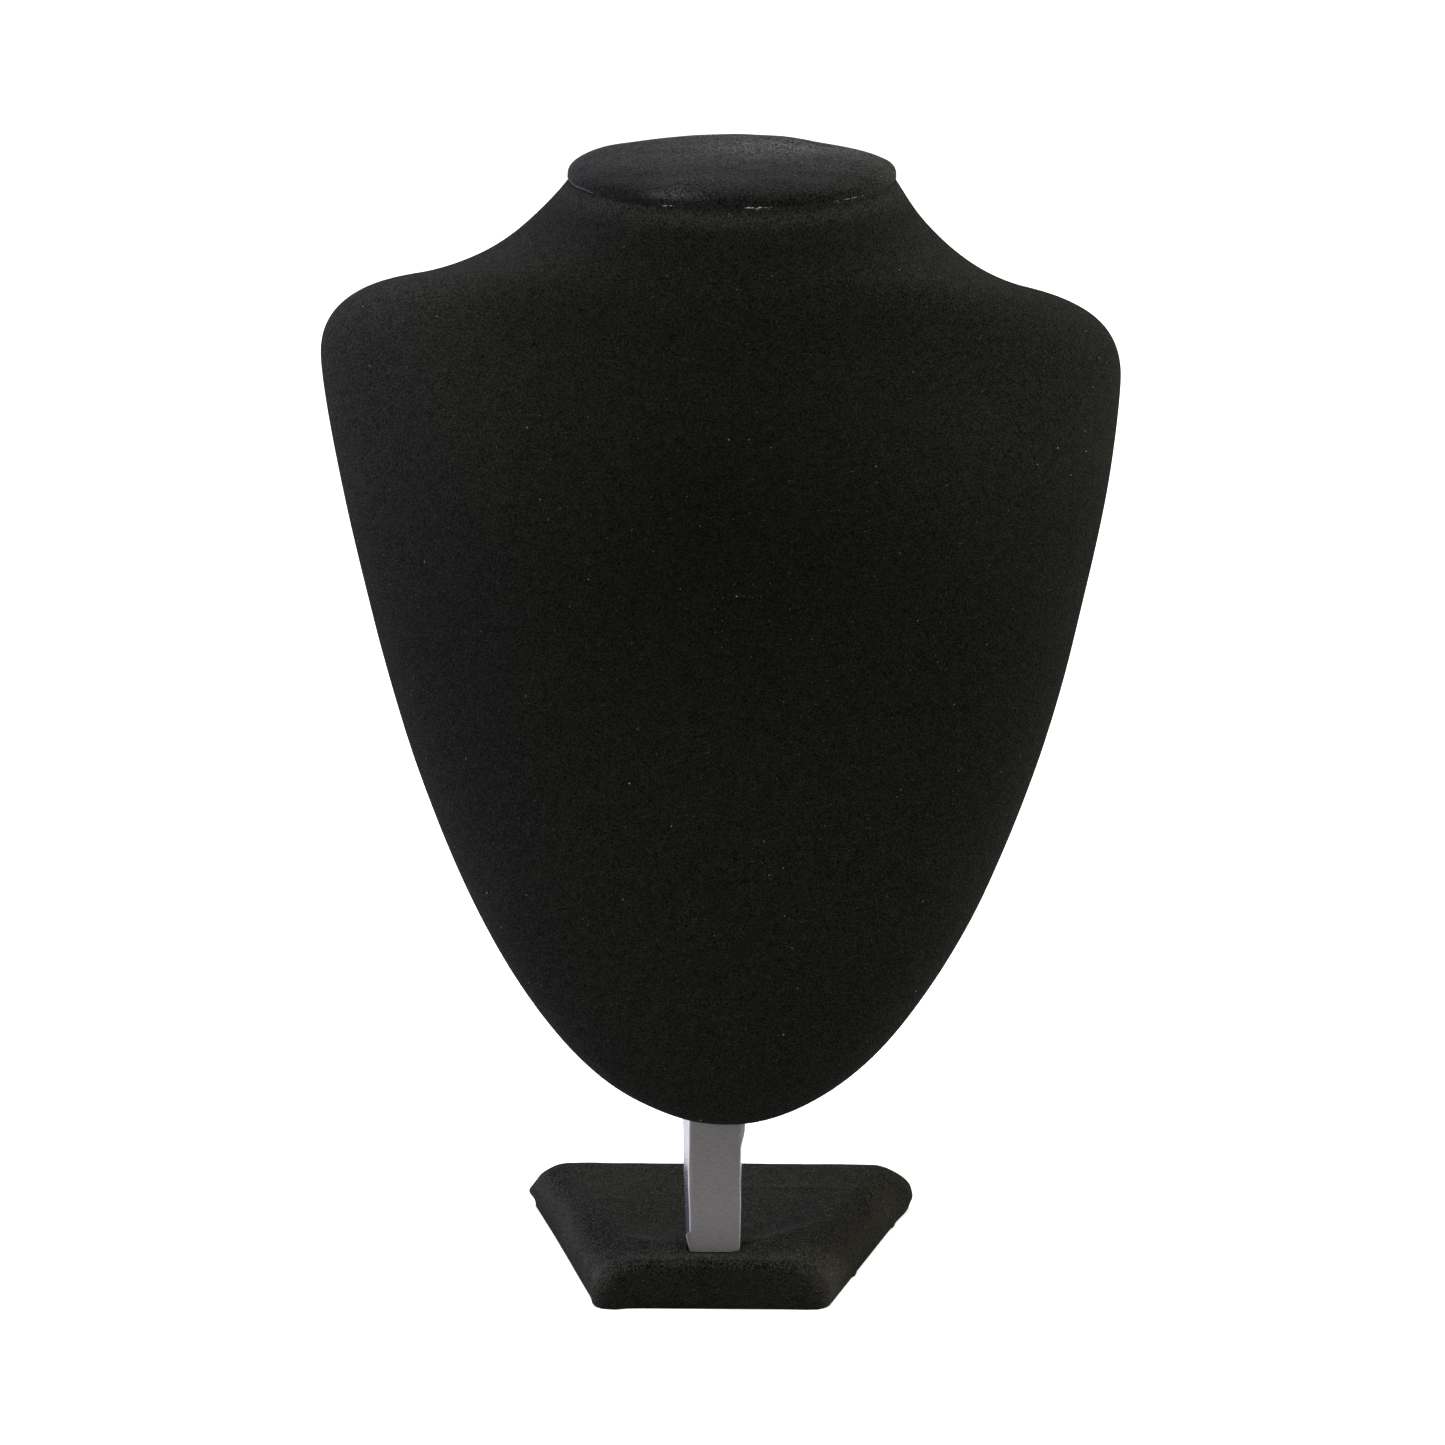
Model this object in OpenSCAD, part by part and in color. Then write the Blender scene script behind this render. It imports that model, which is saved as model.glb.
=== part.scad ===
// Necklace bust: a moulded, velvet-covered bust that leans back on a wrapped strut,
// which stands in a tapered, velvet-covered base.
// Millimetres. The origin is the middle of the base's underside, +Z is up and the front faces -Y.

/* [Bust] */
// Width of the moulded bust across its shoulders
bust_w = 221.5; // [200:0.5:240]
// Height above the tip at which the bust is widest
widest_h = 211.4; // [195:0.2:225]
// How far the top of a shoulder lies inside the widest line
shoulder_in = 25.5; // [22:0.5:30]
// How far the top of a shoulder lies above the widest line
shoulder_rise = 22.3; // [19:0.1:27]
// Slope of the shoulder's top, in degrees
shoulder_slope = 11; // [8:1:18]
// How far the broad curve of the tip reaches sideways before it turns up
tip_reach = 78.3; // [70:0.1:88]
// Thickness of the rim that runs round the bust
rim_d = 5; // [4:0.5:7]
// Depth of the chest where it is fullest
chest_d = 46; // [38:1:54]
// Height above the tip at which the chest is fullest
chest_h = 190; // [160:1:205]
// Wall of the moulded shell
shell_wall = 2; // [1.5:0.1:2.5]
// How far the worn right shoulder sits lower, and the left one higher, at the widest line
shoulder_drop = 2.4; // [0:0.1:5]
// How far the shoulders sit to the left of the tip
shoulder_shift = 2.2; // [0:0.1:4]

/* [Neck] */
// Width of the shell at the top of the neck
neck_w = 86.8; // [80:0.2:94]
// Depth of the shell at the top of the neck
neck_d = 54; // [48:1:58]
// How far the middle of the neck's top lies above the shoulders
neck_rise = 28.5; // [26:0.5:34]
// Forward slope of the neck's top against the bust, in degrees
neck_cut = 20.5; // [14:0.5:22]
// Angle of the neck's sides at the top, in degrees above the level
neck_flare = 55; // [50:1:66]
// How far the neck sits to the right of the tip
neck_shift = 1.3; // [0:0.1:2]

/* [Neck cap] */
// Thickness of the cap's board
cap_board_t = 1.4; // [1.2:0.1:3]
// Thickness of the padding between the cap's board and its velvet
cap_pad_t = 0.4; // [0.2:0.1:1]
// How far the cap's board stands out past the shell
cap_overhang = 1.2; // [0.8:0.1:2]
// Depth of the plug that keys the cap into the neck
plug_h = 5; // [3:0.5:8]
// Gap between the plug and the shell
plug_gap = 1.2; // [1:0.1:2]
// Width of the velvet tucked under the cap's board
cap_hem = 3; // [2:0.5:4]

/* [Velvet and back] */
// Thickness of the velvet with its pile
velvet_t = 0.8; // [0.6:0.1:1]
// Width of the velvet turned over on to the back
hem_w = 14; // [12:0.5:18]
// How far the top edge of the turned-over velvet lies below the shoulder seam
yoke_drop = 3; // [2:0.5:8]
// Thickness of the back cover
cover_t = 1.2; // [1:0.1:2]
// How far the back cover lies inside the edge of the shell
cover_inset = 8.5; // [7:0.5:10]

/* [Strut] */
// Backward lean of the bust and strut, in degrees
lean = 13; // [10:0.5:15]
// Height of the shell's tip above the table, along the strut
bust_lift = 50.5; // [42:0.1:60]
// How far the bust sits to the right of the strut
bust_offset = 2.5; // [0:0.1:4]
// Width of the strut's front face above the bust's tip
strut_w = 15.2; // [14:0.1:20]
// Width of the strut's front face at the foot
strut_foot_w = 13.6; // [12:0.1:18]
// Thickness of the wrapped strut
strut_t = 10; // [9:0.1:12]
// Length of the strut from table level to its top
strut_len = 187; // [170:1:220]
// How far the strut's left side splays out towards the back
strut_splay = 2; // [0:0.1:3]
// Thickness of the strut's paper wrap
wrap_t = 0.5; // [0.3:0.1:0.6]
// Distance from the front of the base to the strut
strut_inset = 11.1; // [10:0.1:20]
// How far the strut stands to the right of the base's middle
strut_offset = 0.3; // [0:0.1:2]

/* [Base] */
// Depth of the covered base
base_d = 102; // [95:1:125]
// Width of the covered base at the back
base_back_w = 109.4; // [100:0.2:130]
// Width of the covered base at the front
base_front_w = 63.4; // [58:0.2:80]
// Thickness of the whole base
base_t = 13.7; // [12:0.1:16]
// Radius of the rounded long sides of the base
bullnose_r = 8.9; // [7:0.1:10.5]
// Radius of the front and back top edges of the board
end_r = 2.8; // [1:0.1:4]
// Width of the velvet turned under the base
base_hem = 8; // [6:0.5:12]
// Thickness of the sheet under the base
sheet_t = 0.4; // [0.3:0.1:0.8]
// How far the sheet lies inside the edge of the base
sheet_inset = 2.5; // [2:0.1:5]
// Thickness of board left under the strut's foot
web_t = 3.3; // [3:0.1:4]

/* [Fasteners] */
// Shank diameter of the wood screws
screw_d = 3.4; // [3:0.1:4]
// Head diameter of the wood screws
head_d = 6.8; // [6:0.1:7.2]
// Length of the two screws that hold the bust
strut_screw_len = 22; // [19:0.5:24]
// Length of the screw that holds the strut
base_screw_len = 15; // [13:0.5:16]
// Height along the strut of the lower bust screw
lower_screw_v = 106; // [100:1:115]
// Distance between the two bust screws
screw_pitch = 58; // [45:1:60]
// Width of the batten inside the bust
batten_w = 26; // [20:1:30]
// Thickness of the batten inside the bust
batten_t = 11; // [10:0.5:12]
// How far the batten reaches past each bust screw
batten_over = 16; // [12:1:18]
// Gap left round a piece that slides or screws into another
fit_gap = 0.1; // [0.05:0.05:0.2]

/* [Hidden] */

velvet_black = [0.1, 0.1, 0.1];
shell_grey = [0.45, 0.44, 0.42];
board_brown = [0.6, 0.47, 0.33];
cover_black = [0.16, 0.16, 0.17];
wrap_grey = [0.42, 0.41, 0.43];
zinc = [0.72, 0.73, 0.75];

eps = 0.01;
round_fn = 48;

// Heights and half widths of the bust, measured up the leaning back from the shell's tip
half_w = bust_w/2;
shoulder_x = half_w - shoulder_in;
shoulder_h = widest_h + shoulder_rise;
neck_h = shoulder_h + neck_rise;
neck_half = neck_w/2;
cut_slope = tan(neck_cut);
neck_front_h = neck_h - neck_d/2*cut_slope;
neck_back_h = neck_h + neck_d/2*cut_slope;

// Handles of the outline's three curves
side_handle = 22.4;
corner_handle = 15.3;
shoulder_handle = 12.5;
trapezius_handle = 12.4;
neck_handle = 21.2;

// The worn shoulders sag between these heights
sag_from = widest_h - 72;
sag_full = widest_h + 9;
sag_fade = shoulder_h - 5;
sag_end = neck_front_h;

// The neck steps to the right between these heights
step_from = shoulder_h + 15;
step_to = neck_h;

// Stack of layers behind the shell and under the base
back_stack = velvet_t + cover_t;
board_z = sheet_t + velvet_t;
board_top = base_t - velvet_t;
foot_z = board_z + web_t;

// Where the strut's front face crosses the table
strut_y = -base_d/2 + strut_inset - base_t*tan(lean);
screw_heights = [lower_screw_v, lower_screw_v + screw_pitch];

function clamped(x) = min(max(x, 0), 1);
function ease(x) = let (c = clamped(x)) c*c*(3 - 2*c);
function mix(a, b, f) = a + (b - a)*f;
function unit(v) = v/norm(v);
function bezier(p, t) = let (s = 1 - t)
    s*s*s*p[0] + 3*s*s*t*p[1] + 3*s*t*t*p[2] + t*t*t*p[3];
function bezier_slope(p, t) = let (s = 1 - t)
    3*s*s*(p[1] - p[0]) + 6*s*t*(p[2] - p[1]) + 3*t*t*(p[3] - p[2]);

// The right half of the shell's outline: tip to widest line, round the shoulder, up to the neck
outline_curves = [
    [[0, 0], [tip_reach, 0], [half_w, widest_h - side_handle], [half_w, widest_h]],
    [[half_w, widest_h], [half_w, widest_h + corner_handle],
     [shoulder_x, shoulder_h] + shoulder_handle*[cos(shoulder_slope), -sin(shoulder_slope)],
     [shoulder_x, shoulder_h]],
    [[shoulder_x, shoulder_h],
     [shoulder_x, shoulder_h] + trapezius_handle*[-cos(shoulder_slope), sin(shoulder_slope)],
     [neck_half, neck_h] + neck_handle*[cos(neck_flare), -sin(neck_flare)],
     [neck_half, neck_h]]];

// A place on the outline, from 0 at the tip through 1 at the widest line and 2 at the shoulder to 3
function outline(s) = let (i = min(floor(s), 2)) bezier(outline_curves[i], s - i);
function outline_normal(s) = let (i = min(floor(s), 2), d = bezier_slope(outline_curves[i], s - i))
    unit([d[1], -d[0]]);

// 0 on the body, 1 at the top of the neck
function neck_share(h) = ease((h - shoulder_h)/(neck_h - shoulder_h));
// Depth of the widest line of a section, and of its front
function mid_depth(h) = mix(rim_d, neck_d/2, neck_share(h));
function front_depth(h) = rim_d
    + (chest_d - rim_d)*pow(1 - pow(1 - clamped(h/chest_h), 1.7), 0.62)
    + (neck_d - chest_d)*ease((h - widest_h)/(neck_h - widest_h));

// Sideways and downward wander of the hand-made form
function sag(v) = ease((v - sag_from)/(sag_full - sag_from))*(1 - ease((v - sag_fade)/(sag_end - sag_fade)));
function wander(u, v) = [
    u - shoulder_shift*sag(v) + neck_shift*ease((v - step_from)/(step_to - step_from)),
    v - shoulder_drop*u/half_w*sag(v)];

// Inner edge of the velvet on the back: a hem, then a yoke across the shoulders, then a seam
seam_half = 0.5;
yoke_at = 2.375;
function hem_edge(s) = let (
    corner = outline(2) - hem_w*outline_normal(2),
    yoke = [seam_half, corner[1] - yoke_drop])
    s <= 2 ? outline(s) - hem_w*outline_normal(s) :
    s <= yoke_at ? mix(corner, yoke, (s - 2)/(yoke_at - 2)) :
    mix(yoke, [seam_half, neck_back_h], (s - yoke_at)/(3 - yoke_at));

// A point of the shell: s runs up the outline and q round the section, from 0 at the middle of the
// front through 1 at the widest line and 2 at the flat back to 3 at the edge of the velvet
function bust_point(s, q, side, inset) = let (
    rim = outline(s),
    n = outline_normal(s),
    near_neck = neck_share(rim[1]),
    step = near_neck > 0 ? mix(n, [1/n[0], 0], near_neck) : n,
    p = rim - inset*step,
    h = p[1],
    f = neck_share(h),
    mid = mid_depth(h),
    back = mix(p - (rim_d - inset)*n, [3*seam_half, h], f),
    turn = 90*(q <= 1 ? 1 - q : q - 1),
    flat = q <= 1 ? [p[0]*cos(turn), h] : q <= 2 ? mix(p, back, 1 - cos(turn)) : back,
    w = q <= 1 ? mid + (front_depth(h) - inset - mid)*sin(turn)
        : q <= 2 ? mid - (mid - inset)*sin(turn) : inset,
    lifted = [flat[0], flat[1] - (w - mid)*cut_slope*f],
    on_back = q <= 2 ? lifted : mix(lifted, hem_edge(s), q - 2),
    moved = wander(side*on_back[0], on_back[1]))
    [moved[0], -w, moved[1]];

// Outward direction of the shell's surface
function bust_normal(s, q, side) = let (
    ds = 0.002,
    dq = 0.01,
    up = bust_point(min(s + ds, 3), q, side, 0) - bust_point(max(s - ds, ds/2), q, side, 0),
    across = bust_point(s, min(q + dq, 3), side, 0) - bust_point(s, q - dq, side, 0))
    side*unit(cross(across, up));

// The velvet's face, which stays in the plane of the neck's top at the last station
neck_plane_up = [0, -sin(neck_cut), cos(neck_cut)];
function velvet_point(s, q, side) = let (
    p = bust_point(s, q, side, 0),
    n = bust_normal(s, q, side),
    level = n - (n*neck_plane_up)*neck_plane_up)
    s < 3 ? p + velvet_t*n : p + velvet_t*level/(level*level);

tip_start = 0.02;
outer_stations = concat([for (i = [0:15]) mix(tip_start, 1, i/15)], [for (i = [1:6]) 1 + i/6],
                        [for (i = [1:8]) 2 + i/8]);
inner_stations = concat([for (i = [0:8]) mix(tip_start, 1, i/8)], [for (i = [1:3]) 1 + i/3],
                        [for (i = [1:5]) 2 + i/5]);
front_steps = 12;
rim_steps = 5;
section_right = concat([for (i = [1:front_steps]) i/front_steps], [for (i = [1:rim_steps]) 1 + i/rim_steps]);
function mirrored_steps(right) = concat([for (i = [len(right) - 1:-1:0]) -right[i]], [0], right);
shell_steps = mirrored_steps(section_right);
velvet_steps = mirrored_steps(concat(section_right, [3]));
function side_of(q) = q < 0 ? -1 : 1;

// Two triangles between neighbouring rows of a grid, and the ladder that closes a symmetric row
function quad(a, b, c, d) = [[a, b, c], [a, c, d]];
function strip(low, high, count) = [for (j = [0:count - 2])
    each quad(low + j, high + j, high + j + 1, low + j + 1)];
function ladder(first, count) = [for (j = [0:(count - 1)/2 - 1])
    each (j == (count - 1)/2 - 1
        ? [[first + j, first + j + 1, first + count - 1 - j]]
        : quad(first + j, first + j + 1, first + count - 2 - j, first + count - 1 - j))];
function flipped(faces) = [for (f = faces) [f[0], f[2], f[1]]];

// Moulded body with a flat back, open at the neck
module bust_shell_form() {
    k = len(shell_steps);
    n_out = len(outer_stations);
    n_in = len(inner_stations);
    points = concat(
        [for (s = outer_stations) for (q = shell_steps) bust_point(s, abs(q), side_of(q), 0)],
        [for (s = inner_stations) for (q = shell_steps) bust_point(s, abs(q), side_of(q), shell_wall)]);
    inner = n_out*k;
    outer_top = (n_out - 1)*k;
    inner_top = inner + (n_in - 1)*k;
    outer_faces = [for (i = [0:n_out - 2]) each concat(strip(i*k, (i + 1)*k, k),
        quad(i*k + k - 1, (i + 1)*k + k - 1, (i + 1)*k, i*k))];
    inner_faces = [for (i = [0:n_in - 2]) each concat(strip(inner + i*k, inner + (i + 1)*k, k),
        quad(inner + i*k + k - 1, inner + (i + 1)*k + k - 1, inner + (i + 1)*k, inner + i*k))];
    rim_faces = concat(strip(outer_top, inner_top, k),
        quad(outer_top + k - 1, inner_top + k - 1, inner_top, outer_top));
    polyhedron(points, concat(outer_faces, ladder(0, k), flipped(concat(inner_faces, ladder(inner, k))),
                              rim_faces), convexity = 8);
}

// Velvet stretched over the shell, round its rim and on to the back
module bust_velvet_form() {
    k = len(velvet_steps);
    n = len(outer_stations);
    points = concat(
        [for (s = outer_stations) for (q = velvet_steps) velvet_point(s, abs(q), side_of(q))],
        [for (s = outer_stations) for (q = velvet_steps) bust_point(s, abs(q), side_of(q), 0)]);
    inner = n*k;
    top = (n - 1)*k;
    face = concat([for (i = [0:n - 2]) each strip(i*k, (i + 1)*k, k)], ladder(0, k));
    lining = [for (f = face) [f[0] + inner, f[2] + inner, f[1] + inner]];
    left_edge = [for (i = [0:n - 2]) each quad(i*k, inner + i*k, inner + (i + 1)*k, (i + 1)*k)];
    right_edge = [for (i = [0:n - 2]) each quad(i*k + k - 1, (i + 1)*k + k - 1,
                                               inner + (i + 1)*k + k - 1, inner + i*k + k - 1)];
    tip_edge = quad(0, k - 1, inner + k - 1, inner);
    top_edge = strip(top, inner + top, k);
    polyhedron(points, concat(face, lining, left_edge, right_edge, tip_edge, top_edge), convexity = 8);
}

// The frame of the leaning strut: its front face is the plane y = 0
module leaned() {
    translate([strut_offset, strut_y, 0]) rotate([-lean, 0, 0]) children();
}

// The bust's own frame, with the shell's tip at the origin and its flat back in the plane y = 0
module on_strut() {
    leaned() translate([bust_offset, -back_stack, bust_lift]) children();
}

// The frame of the neck's sloping top
module on_neck() {
    on_strut() translate([neck_shift, -neck_d/2, neck_h]) rotate([neck_cut, 0, 0]) children();
}

// A wood screw that points up, with its countersunk head's face in the plane z = 0
module wood_screw(length, grow) {
    head_h = (head_d - screw_d)/2;
    translate([0, 0, -grow]) cylinder(h = head_h + grow, r1 = head_d/2 + grow, r2 = screw_d/2 + grow, $fn = round_fn);
    translate([0, 0, head_h - eps]) cylinder(h = length - head_h - screw_d, r = screw_d/2 + grow, $fn = round_fn);
    translate([0, 0, length - screw_d - 2*eps])
        cylinder(h = screw_d + grow, r1 = screw_d/2 + grow, r2 = screw_d/8, $fn = round_fn);
}

// The cross recess of a screw's head
module cross_recess() {
    for (a = [0, 90])
        rotate([0, 0, a]) translate([-head_d*0.3, -0.45, -eps]) cube([head_d*0.6, 0.9, 1.3]);
}

// The two screws that hold the bust, driven forwards through the strut
module bust_screw_places() {
    leaned() for (v = screw_heights)
        translate([0, strut_t + wrap_t, v]) rotate([90, 0, 0]) children();
}

// The screw that holds the strut, driven up from below
module base_screw_place() {
    translate([strut_offset, strut_y + (foot_z + base_screw_len/2)*tan(lean) + strut_t/2/cos(lean), board_z]) children();
}

module bust_shell() color(shell_grey) difference() {
    on_strut() bust_shell_form();
    bust_screw_places() wood_screw(strut_screw_len, fit_gap);
}

module bust_velvet() color(velvet_black) on_strut() bust_velvet_form();

// Ovals that follow the neck's top: each ring is [how far it stands out past the shell, height]
oval_steps = 64;
function oval_ring(out, z) = [for (i = [0:oval_steps - 1]) let (a = 360*i/oval_steps)
    [(neck_half + out)*cos(a), (neck_d/2/cos(neck_cut) + out)*sin(a), z]];
module oval_stack(rings) {
    last = (len(rings) - 1)*oval_steps;
    points = [for (r = rings) each oval_ring(r[0], r[1])];
    sides = [for (i = [0:len(rings) - 2]) for (j = [0:oval_steps - 1]) let (k = (j + 1)%oval_steps)
        each quad(i*oval_steps + j, (i + 1)*oval_steps + j, (i + 1)*oval_steps + k, i*oval_steps + k)];
    polyhedron(points, concat([[for (j = [0:oval_steps - 1]) j]], sides,
                              [[for (j = [oval_steps - 1:-1:0]) last + j]]), convexity = 4);
}

// Rounded edge of the cap's board or of the velvet over it, from the bottom up
edge_steps = 4;
function rounded_rings(out, low, high, r) = concat([[out, low]],
    [for (i = [0:edge_steps]) let (a = 90*i/edge_steps) [out - r*(1 - cos(a)), high - r*(1 - sin(a))]]);
cap_edge_r = 1.2;
cap_board_top = velvet_t + cap_board_t;

// Straight-sided key below the cap's board, parallel to the neck
module neck_plug(gap, low, high) {
    a = neck_half - shell_wall/sin(neck_flare) - gap;
    b = neck_d/2 - shell_wall - gap;
    intersection() {
        rotate([-neck_cut, 0, 0]) translate([0, 0, -4*plug_h])
            linear_extrude(8*plug_h)
                polygon([for (i = [0:oval_steps - 1]) let (t = 360*i/oval_steps) [a*cos(t), b*sin(t)]]);
        translate([-neck_w, -neck_w, low]) cube([2*neck_w, 2*neck_w, high - low]);
    }
}

module neck_board() color(board_brown) on_neck() {
    oval_stack(rounded_rings(cap_overhang, velvet_t, cap_board_top, cap_edge_r));
    neck_plug(plug_gap, -plug_h, velvet_t + eps);
}

module neck_cap_velvet() color(velvet_black) on_neck() difference() {
    oval_stack(rounded_rings(cap_overhang + velvet_t, 0, cap_board_top + cap_pad_t + velvet_t,
                             cap_edge_r + cap_pad_t + velvet_t));
    oval_stack(rounded_rings(cap_overhang, velvet_t, cap_board_top, cap_edge_r));
    translate([0, 0, -eps]) oval_stack([[-cap_hem, 0], [-cap_hem, 2*velvet_t]]);
}

module back_cover() color(cover_black) difference() {
    on_strut() translate([0, back_stack, 0]) rotate([90, 0, 0]) linear_extrude(cover_t)
        polygon([for (side = [1, -1]) each [for (i = [0:40]) let (
            s = side > 0 ? 2*i/40 : 2 - 2*i/40,
            p = outline(s) - cover_inset*outline_normal(s))
            if (i > 0 || side > 0) if (i < 40 || side > 0) wander(side*p[0], p[1])]]);
    bust_screw_places() wood_screw(strut_screw_len, fit_gap);
}

module bust_batten() color(board_brown) difference() {
    leaned() translate([-batten_w/2, -back_stack - shell_wall - batten_t, screw_heights[0] - batten_over])
        cube([batten_w, batten_t, screw_pitch + 2*batten_over]);
    bust_screw_places() wood_screw(strut_screw_len, fit_gap);
}

// The wrapped bar: a tapering foot, then a straight bar, both with a splayed left side
module bar_form(grow, low, high, back_grow = 0) {
    heights = [low, bust_lift, high];
    rings = [for (v = heights) let (
        rise = clamped(v/bust_lift),
        half = mix(strut_foot_w, strut_w, rise)/2 + grow,
        splay = strut_splay*mix(0.5, 1, rise))
        each [[-half, -grow, v], [half, -grow, v], [half, strut_t + grow + back_grow, v],
              [-half - splay, strut_t + grow + back_grow, v]]];
    sides = [for (i = [0, 4]) for (j = [0:3]) let (k = (j + 1)%4)
        each quad(i + j, i + 4 + j, i + 4 + k, i + k)];
    polyhedron(rings, concat([[0, 1, 2, 3]], sides, [[11, 10, 9, 8]]));
}

foot_low = -5;
module above_foot() difference() {
    children();
    translate([-base_d, -base_d, -base_d]) cube([2*base_d, 2*base_d, base_d + foot_z]);
}

module strut_bar() color(board_brown) difference() {
    above_foot() leaned() bar_form(-wrap_t, foot_low, strut_len - wrap_t);
    bust_screw_places() wood_screw(strut_screw_len, fit_gap);
    base_screw_place() wood_screw(base_screw_len, fit_gap);
}

// Paper folded round the bar and over its top, with a lapped seam down the back
module strut_wrap() color(wrap_grey) difference() {
    above_foot() leaned() {
        difference() {
            bar_form(0, foot_low, strut_len);
            bar_form(-wrap_t, foot_low - 1, strut_len - wrap_t);
        }
        translate([-strut_foot_w/2, strut_t - eps, foot_low]) cube([strut_foot_w*0.7, wrap_t + eps, strut_len - foot_low]);
    }
    bust_screw_places() wood_screw(strut_screw_len, fit_gap);
}

module bust_screws() color(zinc) bust_screw_places() difference() {
    wood_screw(strut_screw_len, 0);
    cross_recess();
}

module base_screw() color(zinc) base_screw_place() difference() {
    wood_screw(base_screw_len, 0);
    cross_recess();
}

// Plan of the base: a trapezium with small round corners, grown or shrunk all round
side_angle = atan((base_back_w - base_front_w)/2/base_d);
plan_corner_r = 2;
function plan_half(y) = mix(base_front_w, base_back_w, (y + base_d/2)/base_d)/2;
function plan_corner(y_sign, grow) = let (y = y_sign*(base_d/2 + grow)) [plan_half(y) + grow/cos(side_angle), y];
module base_plan(grow) {
    r = max(plan_corner_r + grow, 0.5);
    arcs = [for (y_sign = [-1, 1]) let (
        c = plan_corner(y_sign, grow - r),
        from = y_sign < 0 ? -90 : -side_angle,
        to = y_sign < 0 ? -side_angle : 90)
        each [for (i = [0:5]) c + r*[cos(mix(from, to, i/5)), sin(mix(from, to, i/5))]]];
    polygon(concat(arcs, [for (i = [len(arcs) - 1:-1:0]) [-arcs[i][0], arcs[i][1]]]));
}

// Waste outside a round edge of radius r whose top is at height top
module edge_waste(r, top) {
    difference() {
        translate([-r, top - r]) square(r + 5);
        translate([-r, top - r]) circle(r, $fn = round_fn);
    }
}

// The base's form with its round long sides and softer ends, grown by the velvet or not
module base_form(grow, low, top) {
    nose = bullnose_r + grow;
    end = end_r + grow;
    length = base_d*2;
    difference() {
        translate([0, 0, low]) linear_extrude(top - low) base_plan(grow - velvet_t);
        for (side = [0, 1]) mirror([side, 0, 0])
            translate([base_front_w/2 + (grow - velvet_t)/cos(side_angle), -base_d/2, 0]) rotate([0, 0, -side_angle])
                translate([0, length*0.75, 0]) rotate([90, 0, 0]) linear_extrude(length) edge_waste(nose, top);
        for (y_sign = [0, 1]) mirror([0, y_sign, 0])
            translate([-base_d, base_d/2 + grow - velvet_t, 0]) rotate([90, 0, 90])
                linear_extrude(length) edge_waste(end, top);
    }
}

module strut_slot(low) {
    difference() {
        leaned() bar_form(fit_gap, foot_low, strut_len/2, wrap_t);
        translate([-base_d, -base_d, low - base_d]) cube([2*base_d, 2*base_d, base_d]);
    }
}

module base_board() color(board_brown) difference() {
    base_form(0, board_z, board_top);
    strut_slot(foot_z);
    base_screw_place() wood_screw(base_screw_len, fit_gap);
}

module base_velvet() color(velvet_black) difference() {
    base_form(velvet_t, sheet_t, base_t);
    base_form(0, board_z, board_top);
    translate([0, 0, -1]) linear_extrude(board_z + 1 + eps) base_plan(-velvet_t - base_hem);
    strut_slot(board_top - 1);
}

module base_sheet() color(cover_black) {
    linear_extrude(sheet_t) base_plan(-sheet_inset);
    translate([0, 0, sheet_t - eps]) linear_extrude(board_z - sheet_t + eps)
        base_plan(-velvet_t - base_hem - 0.3);
}

bust_shell();
bust_velvet();
neck_board();
neck_cap_velvet();
back_cover();
bust_batten();
strut_bar();
strut_wrap();
bust_screws();
base_board();
base_velvet();
base_sheet();
base_screw();
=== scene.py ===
# %% [markdown]
# # A velvet necklace bust on its strut
#
# The real thing is a moulded bust with black velvet stretched over it, a padded oval cap on its neck,
# a flat bar wrapped in grey paper that leans it back, and a small tapered base in the same velvet.
# Solids for all of these come from the CAD model. This script dresses them: it replaces the velvet and
# the paper with finer surfaces worked out by formula, and gives every piece a material made of nodes.

# %% Load the solids
import math

import bmesh
import bpy
import numpy as np
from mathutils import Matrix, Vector


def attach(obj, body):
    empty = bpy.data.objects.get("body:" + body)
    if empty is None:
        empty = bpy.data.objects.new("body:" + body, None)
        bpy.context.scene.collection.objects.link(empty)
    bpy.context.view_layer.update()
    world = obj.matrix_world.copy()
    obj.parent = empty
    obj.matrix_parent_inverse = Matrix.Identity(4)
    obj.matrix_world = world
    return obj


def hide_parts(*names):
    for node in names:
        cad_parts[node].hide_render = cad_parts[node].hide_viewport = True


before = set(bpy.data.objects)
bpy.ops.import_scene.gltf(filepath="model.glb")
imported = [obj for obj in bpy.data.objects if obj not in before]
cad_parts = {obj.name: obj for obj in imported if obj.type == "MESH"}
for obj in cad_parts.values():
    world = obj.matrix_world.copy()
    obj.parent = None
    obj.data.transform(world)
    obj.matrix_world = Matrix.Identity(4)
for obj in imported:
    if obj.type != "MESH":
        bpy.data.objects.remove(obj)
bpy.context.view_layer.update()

scene = bpy.context.scene
scene.view_settings.view_transform = "Standard"
MM = 0.001
print("solids:", ", ".join(sorted(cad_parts)))

# %% [markdown]
# ## The camera first
#
# The photograph was taken from well back with a long lens, a little above the table and a touch to the
# right. The place of the camera decides every outline that follows, so it is set before anything is shaped.
# A camera at a real distance is used, and not a flat (orthographic) one, because the far edge of the base
# really is drawn a little smaller.

# %% Camera
def put(name, data):
    """A new object in the scene that holds a camera, a lamp or a mesh."""
    obj = bpy.data.objects.new(name, data)
    scene.collection.objects.link(obj)
    return obj


camera_height_angle = math.radians(13.0)
camera_side_angle = math.radians(1.3)
camera_distance = 2.2
aim = Vector((0.00175, -0.01164, 0.15888))
focal_in_pixels, photo_pixels = 7884.8, 1445

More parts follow.
